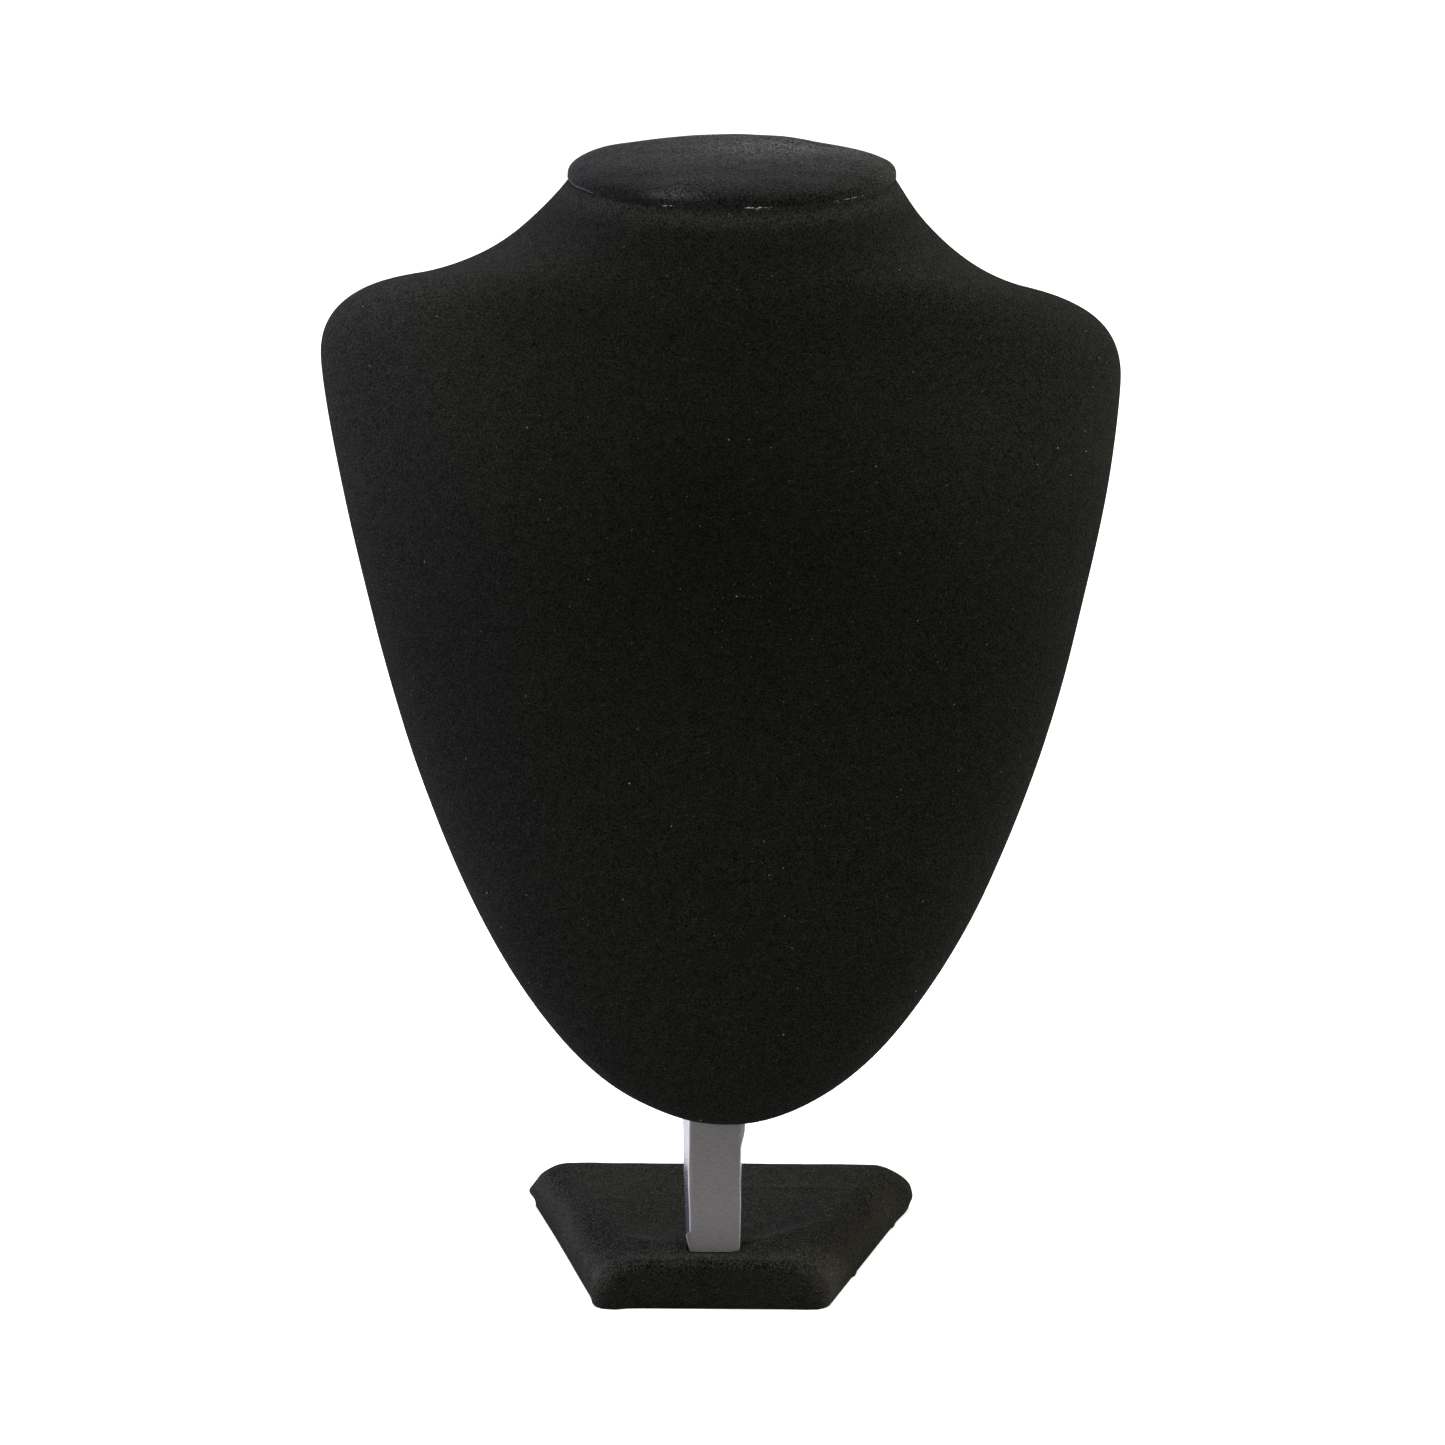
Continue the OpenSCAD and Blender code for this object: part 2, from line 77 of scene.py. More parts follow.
camera_data = bpy.data.cameras.new("camera")
camera_data.sensor_width = 36.0
camera_data.lens = focal_in_pixels * camera_data.sensor_width / photo_pixels
camera_data.clip_end = 20.0
camera = put("camera", camera_data)
towards_camera = Vector((
    math.sin(camera_side_angle) * math.cos(camera_height_angle),
    -math.cos(camera_side_angle) * math.cos(camera_height_angle),
    math.sin(camera_height_angle),
))
camera.location = aim + towards_camera * camera_distance
camera.rotation_euler = (-towards_camera).to_track_quat("-Z", "Y").to_euler()
scene.camera = camera
print(f"lens {camera_data.lens:.0f} mm at {camera_distance} m")

# %% [markdown]
# ## Room and light
#
# A product table: everything white, and broad soft light. Two lamps stand at the sides, a little behind the
# object, so that they graze the velvet and make its rims paler: the left one is slightly blue, the right one
# slightly warm. A weak one on the left front and two overhead fill the rest. The floor is lifted to pure
# white only where the camera or a mirror looks at it. The light that falls on the velvet stays at a plain
# level, and the floor keeps a faint shadow under the base.

# %% Helpers for nodes
def add_node(tree, kind, inputs=(), **settings):
    """Puts a node in a tree, sets its properties, and sets or links its inputs by name or number."""
    node = tree.nodes.new(kind)
    for key, value in settings.items():
        setattr(node, key, value)
    for key, value in dict(inputs).items():
        socket = node.inputs[key]
        if isinstance(value, bpy.types.NodeSocket):
            tree.links.new(value, socket)
        else:
            socket.default_value = value
    return node


def math_node(tree, operation, a, b=0.0, c=0.0, clamp=False):
    """One sum of a Math node: its operation on a and b, and on c where it takes a third number."""
    return add_node(tree, "ShaderNodeMath", {0: a, 1: b, 2: c}, operation=operation, use_clamp=clamp).outputs[0]


def in_range(tree, value, low, high, to_low=0.0, to_high=1.0):
    """Straight line that takes low..high to to_low..to_high and holds at both ends."""
    return add_node(tree, "ShaderNodeMapRange", {
        "Value": value, "From Min": low, "From Max": high, "To Min": to_low, "To Max": to_high}).outputs["Result"]


def noise(tree, place, scale, detail, roughness=0.5, distortion=0.0):
    """A Noise Texture's number at a place: soft and random, 0.5 on average."""
    return add_node(tree, "ShaderNodeTexNoise", {
        "Vector": place, "Scale": scale, "Detail": detail, "Roughness": roughness,
        "Distortion": distortion}).outputs["Fac"]


def colour_mix(tree, share, first, second):
    """Blend of two colours: the first where the share is 0, the second where it is 1."""
    return add_node(tree, "ShaderNodeMix", {0: share, 6: first, 7: second}, data_type="RGBA").outputs[2]


def stored(tree, name):
    """A number that a piece keeps at each of its points."""
    return add_node(tree, "ShaderNodeAttribute", attribute_name=name).outputs["Fac"]


def on_object(tree):
    """The place on the piece itself, in metres."""
    return add_node(tree, "ShaderNodeTexCoord").outputs["Object"]


def bumps(tree, height, distance, strength):
    """A normal tilted by the slope of a height."""
    return add_node(tree, "ShaderNodeBump", {
        "Height": height, "Distance": distance, "Strength": strength}).outputs["Normal"]


def new_tree(name):
    """A material with an empty node tree."""
    material = bpy.data.materials.new(name)
    material.use_nodes = True
    material.node_tree.nodes.clear()
    return material, material.node_tree


def show(tree, shader):
    """Gives a material's tree its output: the shader as its surface."""
    add_node(tree, "ShaderNodeOutputMaterial", {"Surface": shader.outputs[0]})


print("node helpers ready")

# %% White floor and white world
def looked_at(tree):
    """1 for what the camera, a mirror or glass sees, 0 for the light that falls on the object."""
    seen = add_node(tree, "ShaderNodeLightPath").outputs
    sharp = math_node(tree, "MAXIMUM", seen["Is Camera Ray"], seen["Is Glossy Ray"])
    return math_node(tree, "MAXIMUM", sharp, seen["Is Transmission Ray"])


edge = 3.0
floor_mesh = bpy.data.meshes.new("floor")
floor_mesh.from_pydata([(-edge, -edge, 0), (edge, -edge, 0), (edge, edge, 0), (-edge, edge, 0)], [], [(0, 1, 2, 3)])
floor = put("floor", floor_mesh)

floor_white, tree = new_tree("floor white")
paint = add_node(tree, "ShaderNodeBsdfDiffuse", {"Color": (0.82, 0.82, 0.82, 1)})
from_middle = add_node(tree, "ShaderNodeVectorMath", {0: on_object(tree)}, operation="LENGTH").outputs["Value"]
glow = math_node(tree, "MULTIPLY", looked_at(tree), in_range(tree, from_middle, 0.3, 1.1, 0.6, 1.0))
lift = add_node(tree, "ShaderNodeEmission", {"Color": (1, 1, 1, 1), "Strength": glow})
show(tree, add_node(tree, "ShaderNodeAddShader", {0: paint.outputs[0], 1: lift.outputs[0]}))
floor_mesh.materials.append(floor_white)

room_light = 0.1
world = bpy.data.worlds.new("studio")
scene.world = world
world.use_nodes = True
tree = world.node_tree
tree.nodes.clear()
strength = math_node(tree, "ADD", math_node(tree, "MULTIPLY", looked_at(tree), 1 - room_light), room_light)
sky = add_node(tree, "ShaderNodeBackground", {"Color": (1, 1, 1, 1), "Strength": strength})
add_node(tree, "ShaderNodeOutputWorld", {"Surface": sky.outputs[0]})
print("floor and world are white")

# %% Lamps
lamp_away, lamp_width, lit_height = 1.6, 0.9, 0.17
plain, bluish, warm = (1.0, 1.0, 1.0), (0.9, 0.93, 1.25), (1.01, 1.0, 0.93)


def softbox(name, turn, rise, power, colour):
    """A square area lamp on a sphere round the object, turn degrees from the front and rise degrees up, facing it."""
    a, b = math.radians(turn), math.radians(rise)
    place = Vector((lamp_away * math.sin(a) * math.cos(b), -lamp_away * math.cos(a) * math.cos(b),
                    lit_height + lamp_away * math.sin(b)))
    lamp = bpy.data.lights.new(name, "AREA")
    lamp.shape, lamp.size, lamp.energy, lamp.color = "SQUARE", lamp_width, power, colour
    obj = put(name, lamp)
    obj.location = place
    obj.rotation_euler = (Vector((0, 0, lit_height)) - place).to_track_quat("-Z", "Y").to_euler()


for lamp in (("left", -103, 10, 40.0, bluish), ("left front", -70, 12, 7.0, plain), ("right", 103, 10, 34.5, warm),
             ("front top", 0, 70, 9.0, plain), ("top", 0, 85, 22.0, plain)):
    softbox(*lamp)
print("five soft lamps")

# %% [markdown]
# ## From a formula to a mesh
#
# Each new piece is a grid of points: a function of two parameters, worked out as whole numpy arrays.
# Cloth is two such grids, its face and its lining, joined along their borders, so that it has a real
# thickness and no open edge. A Solidify modifier would do the same, but two grids let the lining lie
# exactly on the moulded shell. Small features of a hand-made thing, such as a lump or a dent, and spots of
# painted light or shade, are bells, each with a height, a middle and a width that were read off the photograph in
# millimetres.

# %% Grids and meshes
def ease(x):
    """Smooth step from 0 to 1: 3x^2 - 2x^3, held at 0 and 1 outside."""
    x = np.clip(x, 0.0, 1.0)
    return x * x * (3.0 - 2.0 * x)


def mix(a, b, f):
    """Straight blend from a to b by the share f."""
    return a + (b - a) * f


def hump(x, middle, width):
    """A bell: exp(-((x - middle) / width)^2)."""
    return np.exp(-(((x - middle) / width) ** 2))


def grid_quads(rows, columns, wrap=False, start=0):
    """Four corner numbers for each cell of a grid whose points are counted row by row."""
    across = columns if wrap else columns - 1
    i, j = np.meshgrid(np.arange(rows - 1), np.arange(across), indexing="ij")
    k = (j + 1) % columns
    cells = np.stack([i * columns + j, (i + 1) * columns + j, (i + 1) * columns + k, i * columns + k], -1)
    return cells.reshape(-1, 4) + start


def border_quads(low, high, wrap=False):
    """Quads between two lines of points with the same count."""
    if wrap:
        low, high = np.append(low, low[0]), np.append(high, high[0])
    return np.stack([low[:-1], high[:-1], high[1:], low[1:]], -1)


def surface_normals(points, wrap=False):
    """Outward or inward unit normal at each grid point: the cross product of the steps along rows and columns."""
    if wrap:
        padded = np.concatenate([points[:, -2:], points, points[:, :2]], axis=1)
        across = np.gradient(padded, axis=1)[:, 2:-2]
    else:
        across = np.gradient(points, axis=1)
    along = np.gradient(points, axis=0)
    normal = np.cross(across, along)
    return normal / np.maximum(np.linalg.norm(normal, axis=-1, keepdims=True), 1e-12)


def make_piece(name, points, faces, sharp_angle=50.0, **attributes):
    """A mesh object in metres from points in millimetres, outward faces, smooth except at sharp edges. The
    attributes are numbers for its first points, such as a sheet's face; the rest get 0."""
    mesh = bpy.data.meshes.new(name)
    mesh.from_pydata((np.asarray(points, float) * MM).tolist(), [], [list(map(int, f)) for f in faces])
    for key, values in attributes.items():
        numbers = np.zeros(len(points), np.float32)
        numbers[:values.size] = values.ravel()
        mesh.attributes.new(key, "FLOAT", "POINT").data.foreach_set("value", numbers)
    work = bmesh.new()
    work.from_mesh(mesh)
    bmesh.ops.recalc_face_normals(work, faces=work.faces)
    work.to_mesh(mesh)
    work.free()
    mesh.shade_smooth()
    mesh.set_sharp_from_angle(angle=math.radians(sharp_angle))
    obj = put(name, mesh)
    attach(obj, "root")
    return obj


def largest_hump(x, *humps):
    """The largest of a few bells at each x. Each bell is a height, a middle and a width."""
    return np.max([height * hump(x, middle, width) for height, middle, width in humps], axis=0)


def patches(a, b, *spots):
    """Sum of soft ovals: each is a height times a bell in a (middle, width) times a bell in b (middle, width)."""
    return sum(height * hump(a, *in_a) * hump(b, *in_b) for height, in_a, in_b in spots)


print("grid helpers ready")

# %% [markdown]
# ## Where things are
#
# The strut leans back 13 degrees, and the bust is screwed flat to it. So three frames do all the
# work: the strut's, the bust's and the sloping top of the neck. The sizes below are the part's own.

# %% Sizes in millimetres
lean = math.radians(13.0)
velvet_t, cover_t = 0.8, 1.2
back_stack = velvet_t + cover_t
base_d, base_back_w, base_front_w, base_t = 102.0, 109.4, 63.4, 13.7
strut_inset, strut_offset, strut_t, strut_len = 11.1, 0.3, 10.0, 187.0
strut_w, strut_foot_w, strut_splay = 15.2, 13.6, 2.0
strut_y = -base_d / 2 + strut_inset - base_t * math.tan(lean)
bust_lift, bust_offset = 50.5, 2.5

bust_w, widest_h = 221.5, 211.4
shoulder_in, shoulder_rise, shoulder_slope = 25.5, 22.3, math.radians(11.0)
tip_reach, rim_d, chest_d, chest_h = 78.3, 5.0, 46.0, 190.0
shoulder_drop, shoulder_shift = 2.4, 2.2
neck_w, neck_d, neck_rise, neck_cut = 86.8, 54.0, 28.5, math.radians(20.5)
neck_flare, neck_shift = math.radians(55.0), 1.3
cap_overhang, cap_board_t, hem_w, yoke_drop = 1.2, 1.4, 14.0, 3.0

half_w = bust_w / 2
shoulder_x, shoulder_h = half_w - shoulder_in, widest_h + shoulder_rise
neck_h, neck_half = shoulder_h + neck_rise, neck_w / 2
cut_slope = math.tan(neck_cut)
neck_front_h, neck_back_h = neck_h - neck_d / 2 * cut_slope, neck_h + neck_d / 2 * cut_slope
print(f"shoulders {shoulder_h:.1f} mm and neck {neck_h:.1f} mm above the tip")


# %% Frames
def turned(points, angle):
    """Turns points about the X axis: y' = y cos a - z sin a, z' = y sin a + z cos a."""
    x, y, z = np.moveaxis(points, -1, 0)
    return np.stack([x, y * math.cos(angle) - z * math.sin(angle), y * math.sin(angle) + z * math.cos(angle)], -1)


def from_strut(points):
    """Strut frame to the table's: lean back, then step to where the strut crosses the table."""
    return turned(points, -lean) + np.array([strut_offset, strut_y, 0.0])


def from_bust(points):
    """Bust frame to the table's: the shell's tip is set on the strut, in front of the back cover."""
    return from_strut(points + np.array([bust_offset, -back_stack, bust_lift]))


def from_neck(points):
    """Frame of the neck's sloping top to the table's."""
    return from_bust(turned(points, neck_cut) + np.array([neck_shift, -neck_d / 2, neck_h]))


print("frames ready")

# %% [markdown]
# ## The bust's form
#
# Seen from the front, half of the outline is three Bezier curves: the broad tip, the shoulder's corner,
# and the hollow up to the neck. Every height has a section: part of an oval in front, a tight
# rounded rim, and a flat back. Going up the neck, that section turns into an oval and its top tilts
# forward. A sculpted mesh could do it, but with a formula each photograph measurement stays one number.

# %% Outline of the bust
outline_curves = np.array([
    [[0, 0], [tip_reach, 0], [half_w, widest_h - 22.4], [half_w, widest_h]],
    [[half_w, widest_h], [half_w, widest_h + 15.3],
     [shoulder_x + 12.5 * math.cos(shoulder_slope), shoulder_h - 12.5 * math.sin(shoulder_slope)],
     [shoulder_x, shoulder_h]],
    [[shoulder_x, shoulder_h],
     [shoulder_x - 12.4 * math.cos(shoulder_slope), shoulder_h + 12.4 * math.sin(shoulder_slope)],
     [neck_half + 21.2 * math.cos(neck_flare), neck_h - 21.2 * math.sin(neck_flare)],
     [neck_half, neck_h]]])


def outline(s):
    """Point and outward normal of the half outline. s goes from 0 at the tip through 1 at the widest line
    and 2 at the shoulder to 3 at the neck; each unit is one cubic Bezier curve."""
    part = np.minimum(np.floor(s), 2).astype(int)
    t = (s - part)[..., None]
    p = np.moveaxis(outline_curves[part], -2, 0)
    point = (1 - t) ** 3 * p[0] + 3 * (1 - t) ** 2 * t * p[1] + 3 * (1 - t) * t**2 * p[2] + t**3 * p[3]
    step = (1 - t) ** 2 * (p[1] - p[0]) + 2 * (1 - t) * t * (p[2] - p[1]) + t**2 * (p[3] - p[2])
    normal = np.stack([step[..., 1], -step[..., 0]], -1)
    return point, normal / np.linalg.norm(normal, axis=-1, keepdims=True)


print("outline points at 0.5, 1.5, 2.5:", outline(np.array([0.5, 1.5, 2.5]))[0].round(1).tolist())


# %% Depth and wander
def neck_share(h):
    """0 on the body, 1 at the top of the neck."""
    return ease((h - shoulder_h) / (neck_h - shoulder_h))


def front_depth(h):
    """Depth of the chest: it swells from the rim as 1 - (1 - h/H)^1.7, softened, and goes on into the neck."""
    swell = (1 - (1 - np.clip(h / chest_h, 0, 1)) ** 1.7) ** 0.62
    return rim_d + (chest_d - rim_d) * swell + (neck_d - chest_d) * ease((h - widest_h) / (neck_h - widest_h))


def wander(u, v):
    """The hand-made form isn't symmetric: the left shoulder stands higher and wider than the right,
    the neck sits a little to the right, and the right flank and the tip are not quite fair curves."""
    sag = ease((v - widest_h + 72) / 81) * (1 - ease((v - shoulder_h + 5) / (neck_front_h - shoulder_h + 5)))
    step = ease((v - shoulder_h - 15) / (neck_h - shoulder_h - 15))
    right, left = np.clip(u / half_w, 0, 1) ** 2, np.clip(-u / half_w, 0, 1) ** 2
    flank = right * (1.0 * hump(v, 58, 17) - 0.85 * hump(v, 148, 24)) - 0.3 * hump(v, 247, 7)
    flank = flank + left * (0.75 * hump(v, 236, 11) + 0.8 * hump(v, 38, 18))
    chin = (1 - ease(v / 25)) * (0.5 * hump(u, -21, 10) + 0.42 * hump(u, 32, 14) - 0.15 * hump(u, 7, 8))
    return u - shoulder_shift * sag + neck_shift * step + flank, v - shoulder_drop * u / half_w * sag + chin


seam_half, yoke_at = 0.12, 2.375


def hem_edge(s):
    """Inner edge of the velvet on the back: a parallel hem, a straight yoke across the shoulders, then
    the seam up the middle of the neck."""
    point, normal = outline(s)
    corner_point, corner_normal = outline(np.array(2.0))
    corner = corner_point - hem_w * corner_normal
    yoke = np.array([seam_half, corner[1] - yoke_drop])
    top = np.array([seam_half, neck_back_h])
    s = s[..., None]
    return np.where(s <= 2, point - hem_w * normal, np.where(
        s <= yoke_at, mix(corner, yoke, (s - 2) / (yoke_at - 2)), mix(yoke, top, (s - yoke_at) / (3 - yoke_at))))


def bust_surface(s, q):
    """Point of the shell. s runs up the outline. q runs round the section, from 0 at the middle of the
    front through 1 at the widest line and 2 at the flat back to 3 at the velvet's edge, and is negative on
    the left half. In front w = middle + (depth - middle) sin, at the rim w = middle - middle sin, and x
    follows the cosine."""
    side, q = np.where(q < 0, -1.0, 1.0), np.abs(q)
    p, n = outline(s)
    h = p[..., 1]
    f = neck_share(h)
    middle = mix(rim_d, neck_d / 2, f)
    back = mix(p - rim_d * n, np.stack([np.full_like(h, 3 * seam_half), h], -1), f[..., None])
    turn = np.radians(90 * np.where(q <= 1, 1 - q, np.minimum(q, 2) - 1))
    in_front = np.stack([p[..., 0] * np.cos(turn), h], -1)
    behind = mix(p, back, (1 - np.cos(turn))[..., None])
    flat = np.where((q <= 1)[..., None], in_front, behind)
    w = np.where(q <= 1, middle + (front_depth(h) - middle) * np.sin(turn), middle - middle * np.sin(turn))
    v = flat[..., 1] - (w - middle) * cut_slope * f
    u = flat[..., 0]
    on_back = np.clip(q - 2, 0, 1)
    edge = hem_edge(s)
    u, v = mix(u, edge[..., 0], on_back), mix(v, edge[..., 1], on_back)
    u, v = wander(side * u, v)
    return np.stack([u, -w, v], -1)


print("chest depth at half height:", round(float(front_depth(np.array(105.0))), 1), "mm")

# %% [markdown]
# ## Velvet on the bust
#
# The cloth is pulled tight over the shell and round its rim, so it follows the form at a constant
# thickness, with only slight waves where hands have pulled it. It puckers on the back, at the tip and
# the shoulders, where a flat cloth has too much to give. A cloth simulation would only find the same
# tight skin again, so the skin is computed straight from the surface and its normals.
#
# Each sheet also keeps numbers at its points for the velvet's material: lay is painted light
# and shade, how much paler or darker the pile is drawn where light or shade falls on it, rub where it is
# worn through at a seam, and crisp how sharp its grain looks.

# %% Slow waves for hand-made surfaces
def slow_waves(a, b, length, seed, count=7):
    """Smooth unevenness from -1 to 1: the mean of a few cosines of random direction and phase."""
    r = np.random.default_rng(seed)
    angle, phase = r.uniform(0, 2 * np.pi, (2, count))
    wave = 2 * np.pi / (length * r.uniform(0.7, 1.6, count))
    total = sum(np.cos(wave[i] * (a * np.cos(angle[i]) + b * np.sin(angle[i])) + phase[i]) for i in range(count))
    return total / count * 1.6


print("waves ready")

# %% Bust velvet
rows_up = np.concatenate([np.linspace(0.004, 1, 90), np.linspace(1, 2, 37)[1:], np.linspace(2, 3, 45)[1:]])
steps_round = np.concatenate([np.linspace(0, 1, 61), np.linspace(1, 2, 25)[1:], np.linspace(2, 3, 13)[1:]])
q_all = np.concatenate([-steps_round[:0:-1], steps_round])
s_grid, q_grid = np.meshgrid(rows_up, q_all, indexing="ij")


def bust_normal(s, q):
    """Outward normal from two small steps of the surface function."""
    d = 1e-3
    up = bust_surface(np.minimum(s + d, 3), q) - bust_surface(np.maximum(s - d, 1e-4), q)
    size, sign = np.abs(q), np.where(q < 0, -1.0, 1.0)
    across = bust_surface(s, sign * np.minimum(size + d, 3)) - bust_surface(s, sign * np.maximum(size - d, 0))
    n = np.cross(across, up) * sign[..., None]
    return n / np.maximum(np.linalg.norm(n, axis=-1, keepdims=True), 1e-12)


shell_points = bust_surface(s_grid, q_grid)
bust_normals = bust_normal(s_grid, q_grid)
neck_up = np.array([0.0, -math.sin(neck_cut), math.cos(neck_cut)])
level = bust_normals - (bust_normals @ neck_up)[..., None] * neck_up
bust_normals[-1] = level[-1] / (level[-1] ** 2).sum(-1, keepdims=True)

u_grid, v_grid = shell_points[..., 0], shell_points[..., 2]
on_front = 1 - ease(np.abs(q_grid) - 1.2)
near_top = ease((2.97 - s_grid) / 0.2)
pull = slow_waves(u_grid, v_grid, 62, 3) * 0.16 + slow_waves(u_grid, v_grid, 24, 4) * 0.05
gathers = np.maximum(hump(s_grid, 1.75, 0.3), hump(s_grid, 0.0, 0.22))
pucker = gathers * hump(np.abs(q_grid), 1.75, 0.35) * 0.3 * np.cos(s_grid * 60 + 0.7 * np.abs(q_grid) * 5)
seam_dip = 0.55 * hump(u_grid, neck_shift, 1.3) * ease((s_grid - yoke_at) * 12) * ease(np.abs(q_grid) - 1.3)
raised = velvet_t + (pull * on_front + np.maximum(pucker, -0.25)) * near_top - seam_dip
bust_face = shell_points + bust_normals * raised[..., None]
print(f"bust grid {bust_face.shape[0]} x {bust_face.shape[1]}, waves {np.ptp(pull):.2f} mm")


# %% Close the cloth
def closed_sheet(face, lining, wrap=False):
    """Points and faces of a closed sheet: both grids and quads along the borders. The first row's halves are
    laced together where the grid doesn't wrap, because the cloth has no hole at the tip. The last cell of
    that lacing is a triangle, because both halves share the middle point."""
    rows, columns = face.shape[:2]
    n = rows * columns
    number = np.arange(n).reshape(rows, columns)
    faces = [grid_quads(rows, columns, wrap), grid_quads(rows, columns, wrap, n)[:, ::-1],
             border_quads(number[-1], number[-1] + n, wrap)]
    triangles = []
    if wrap:
        faces.append(border_quads(number[0] + n, number[0], True))
    else:
        faces += [border_quads(number[:, 0], number[:, 0] + n), border_quads(number[:, -1] + n, number[:, -1])]
        half = columns // 2
        for start in (0, n):
            left, right = number[0, :half + 1] + start, number[0, half:][::-1] + start
            faces.append(border_quads(left[:-1], right[:-1]))
        faces.append(np.array([[number[0, 0], number[0, -1], number[0, -1] + n, number[0, 0] + n]]))
        triangles = [[half - 1, half, half + 1], [n + half + 1, n + half, n + half - 1]]
    points = np.concatenate([face.reshape(-1, 3), lining.reshape(-1, 3)])
    return points, np.concatenate(faces).tolist() + triangles


points, faces = closed_sheet(bust_face, shell_points)
seen_from_front = np.abs(q_grid) < 1
at_seam = ease((s_grid - 2.93) / 0.06) * seen_from_front
rub = at_seam * largest_hump(u_grid, (0.98, 10, 9), (0.9, -17, 10), (0.88, 32, 14))
width_share = np.abs(u_grid) / half_w
# Painted light and shade: paler just under the cap, at the neck and the left shoulder, along the shoulders' tops, low
# on the chest and on the upper flanks, and darker in the middle of the chest.
lay = ((0.4 + 1.5 * hump(u_grid, 8, 34)) * ease((s_grid - 2.82) / 0.13) * seen_from_front
       + patches(u_grid, v_grid, (0.6, (10, 26), (258, 13)), (0.4, (-88, 24), (230, 22)))
       + 0.37 * hump(v_grid, 235, 13) + 0.13 * ease((130 - v_grid) / 60)
       + 0.22 * hump(v_grid, 205, 30) * (0.4 + width_share)
       + patches(v_grid, width_share, (0.28, (190, 40), (0.68, 0.25)), (-0.2, (160, 34), (0, 0.35))))
bust_cloth = make_piece("bust_velvet_cloth", from_bust(points), faces, rub=rub, lay=lay)
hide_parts("bust_velvet")

# %% [markdown]
# ## The neck's cap
#
# The cap is an oval board with velvet over a little padding. Its top is soft: it crowns behind the
# middle, sags at its far corners, and has a few creases from being pressed. A polar grid fits an oval
# best: one parameter goes round, the other from the middle over the edge to the tuck underneath. The
# lining rests on the board, so the padding is the room between the two.

# %% Cap velvet
cap_half_x = neck_half + cap_overhang + velvet_t
cap_half_y = neck_d / 2 / math.cos(neck_cut) + cap_overhang + velvet_t
board_top = velvet_t + cap_board_t
cap_middle = 5.4


def cap_surface(a, t):
    """Polar surface of a cushion: height = middle * (1 - r^2.6)^0.25, so that it falls slowly at first and ends in
    a steep side at r = 1. t from 0 to 2 runs out to that side, closer and closer, and 2 to 4 turns back under."""
    fall = np.clip(t - 1, 0, 1)
    r = 0.72 * np.minimum(t, 1) + 0.28 * (1 - (1 - fall) ** 4)
    tuck = 1.5 * np.clip(t - 2, 0, 2)
    height = cap_middle * np.clip(1 - r**2.6, 0, 1) ** 0.25
    return np.stack([(r * cap_half_x - tuck) * np.cos(a), (r * cap_half_y - tuck) * np.sin(a), height], -1)


def cap_softness(x, y):
    """How far the padded top stands above or below the plain cushion, in millimetres."""
    far = ease((y - 2) / 16)
    crown = 0.35 * hump(x, 2, 16) * hump(y, 20, 9)
    sags = far * (0.6 * ease((x - 12) / 16) - 0.55 * hump(x, -38, 8))
    crease = 0.6 * hump(y - 0.16 * x, 24.0, 1.3) * hump(x, -9, 12)
    fans = 0.2 * np.cos((x * 0.45 + y * 0.8) * 1.1 + 0.12 * x) * hump(x, 17, 14) * hump(y, 17, 8)
    press = 0.28 * slow_waves(x, y, 26, 11) + 0.08 * slow_waves(x, y, 9, 12)
    bulge = 0.3 * hump(x, -14, 6) * hump(y, -22, 4) - 0.15 * hump(y, -15, 5)
    return crown - sags - crease + fans + press + bulge


rounds = np.linspace(0, 2 * np.pi, 289)[:-1]
cap_rows = np.concatenate([np.linspace(0.02, 1, 44), np.linspace(1, 2, 29)[1:], np.linspace(2, 4, 6)[1:]])
t_grid, a_grid = np.meshgrid(cap_rows, rounds, indexing="ij")
cap_face = cap_surface(a_grid, t_grid)
cap_x, cap_y = cap_face[..., 0].copy(), cap_face[..., 1].copy()
cap_near = cap_y < 0
cap_face[..., 2] += cap_softness(cap_x, cap_y) * (1 - ease((t_grid - 1.3) / 0.7))
cap_normals = surface_normals(cap_face, wrap=True)
cap_normals *= np.sign(cap_normals[5, 0, 2])
dimple = (0.5 * hump(cap_x, -17, 5.5) - 0.25 * hump(cap_x, -7, 5)) * cap_near * hump(t_grid, 1.6, 0.25)
cap_face += cap_normals * dimple[..., None]
print(f"cap grid {cap_face.shape[0]} x {cap_face.shape[1]}, crown {cap_face[..., 2].max():.1f} mm")

# %% Lining and middle of the cap
slack = 0.03
outer = np.array([cap_half_x, cap_half_y])
spread = np.linalg.norm(cap_face[..., :2] / outer, axis=-1, keepdims=True)
inner = cap_face[..., :2] * (1 - 0.35 / outer * spread**2)
# The lining lies on the board's top, and past the board's edge it is about half as high as the face.
over_board = np.linalg.norm(inner / (outer - velvet_t), axis=-1, keepdims=True) < 1.0
past_board = np.minimum(board_top + slack, velvet_t + 0.53 * cap_face[..., 2:])
rest = np.where(over_board, board_top + slack, past_board)
cap_lining = np.where(t_grid[..., None] <= 2, np.concatenate([inner, rest], -1), cap_face - cap_normals * velvet_t)
points, faces = closed_sheet(cap_face, cap_lining, wrap=True)

# The grid stops short of the middle. The quads that join face and lining there give way to two fans.
count, n = len(rounds), cap_face[..., 0].size
middle = [len(points), len(points) + 1]
points = np.vstack([points, cap_face[0].mean(0), cap_lining[0].mean(0)])
faces = [f for f in faces if not (min(f) < count and n <= max(f) < n + count)]
for start, centre in zip((0, n), middle):
    faces += [[start + k, start + (k + 1) % count, centre] for k in range(count)]

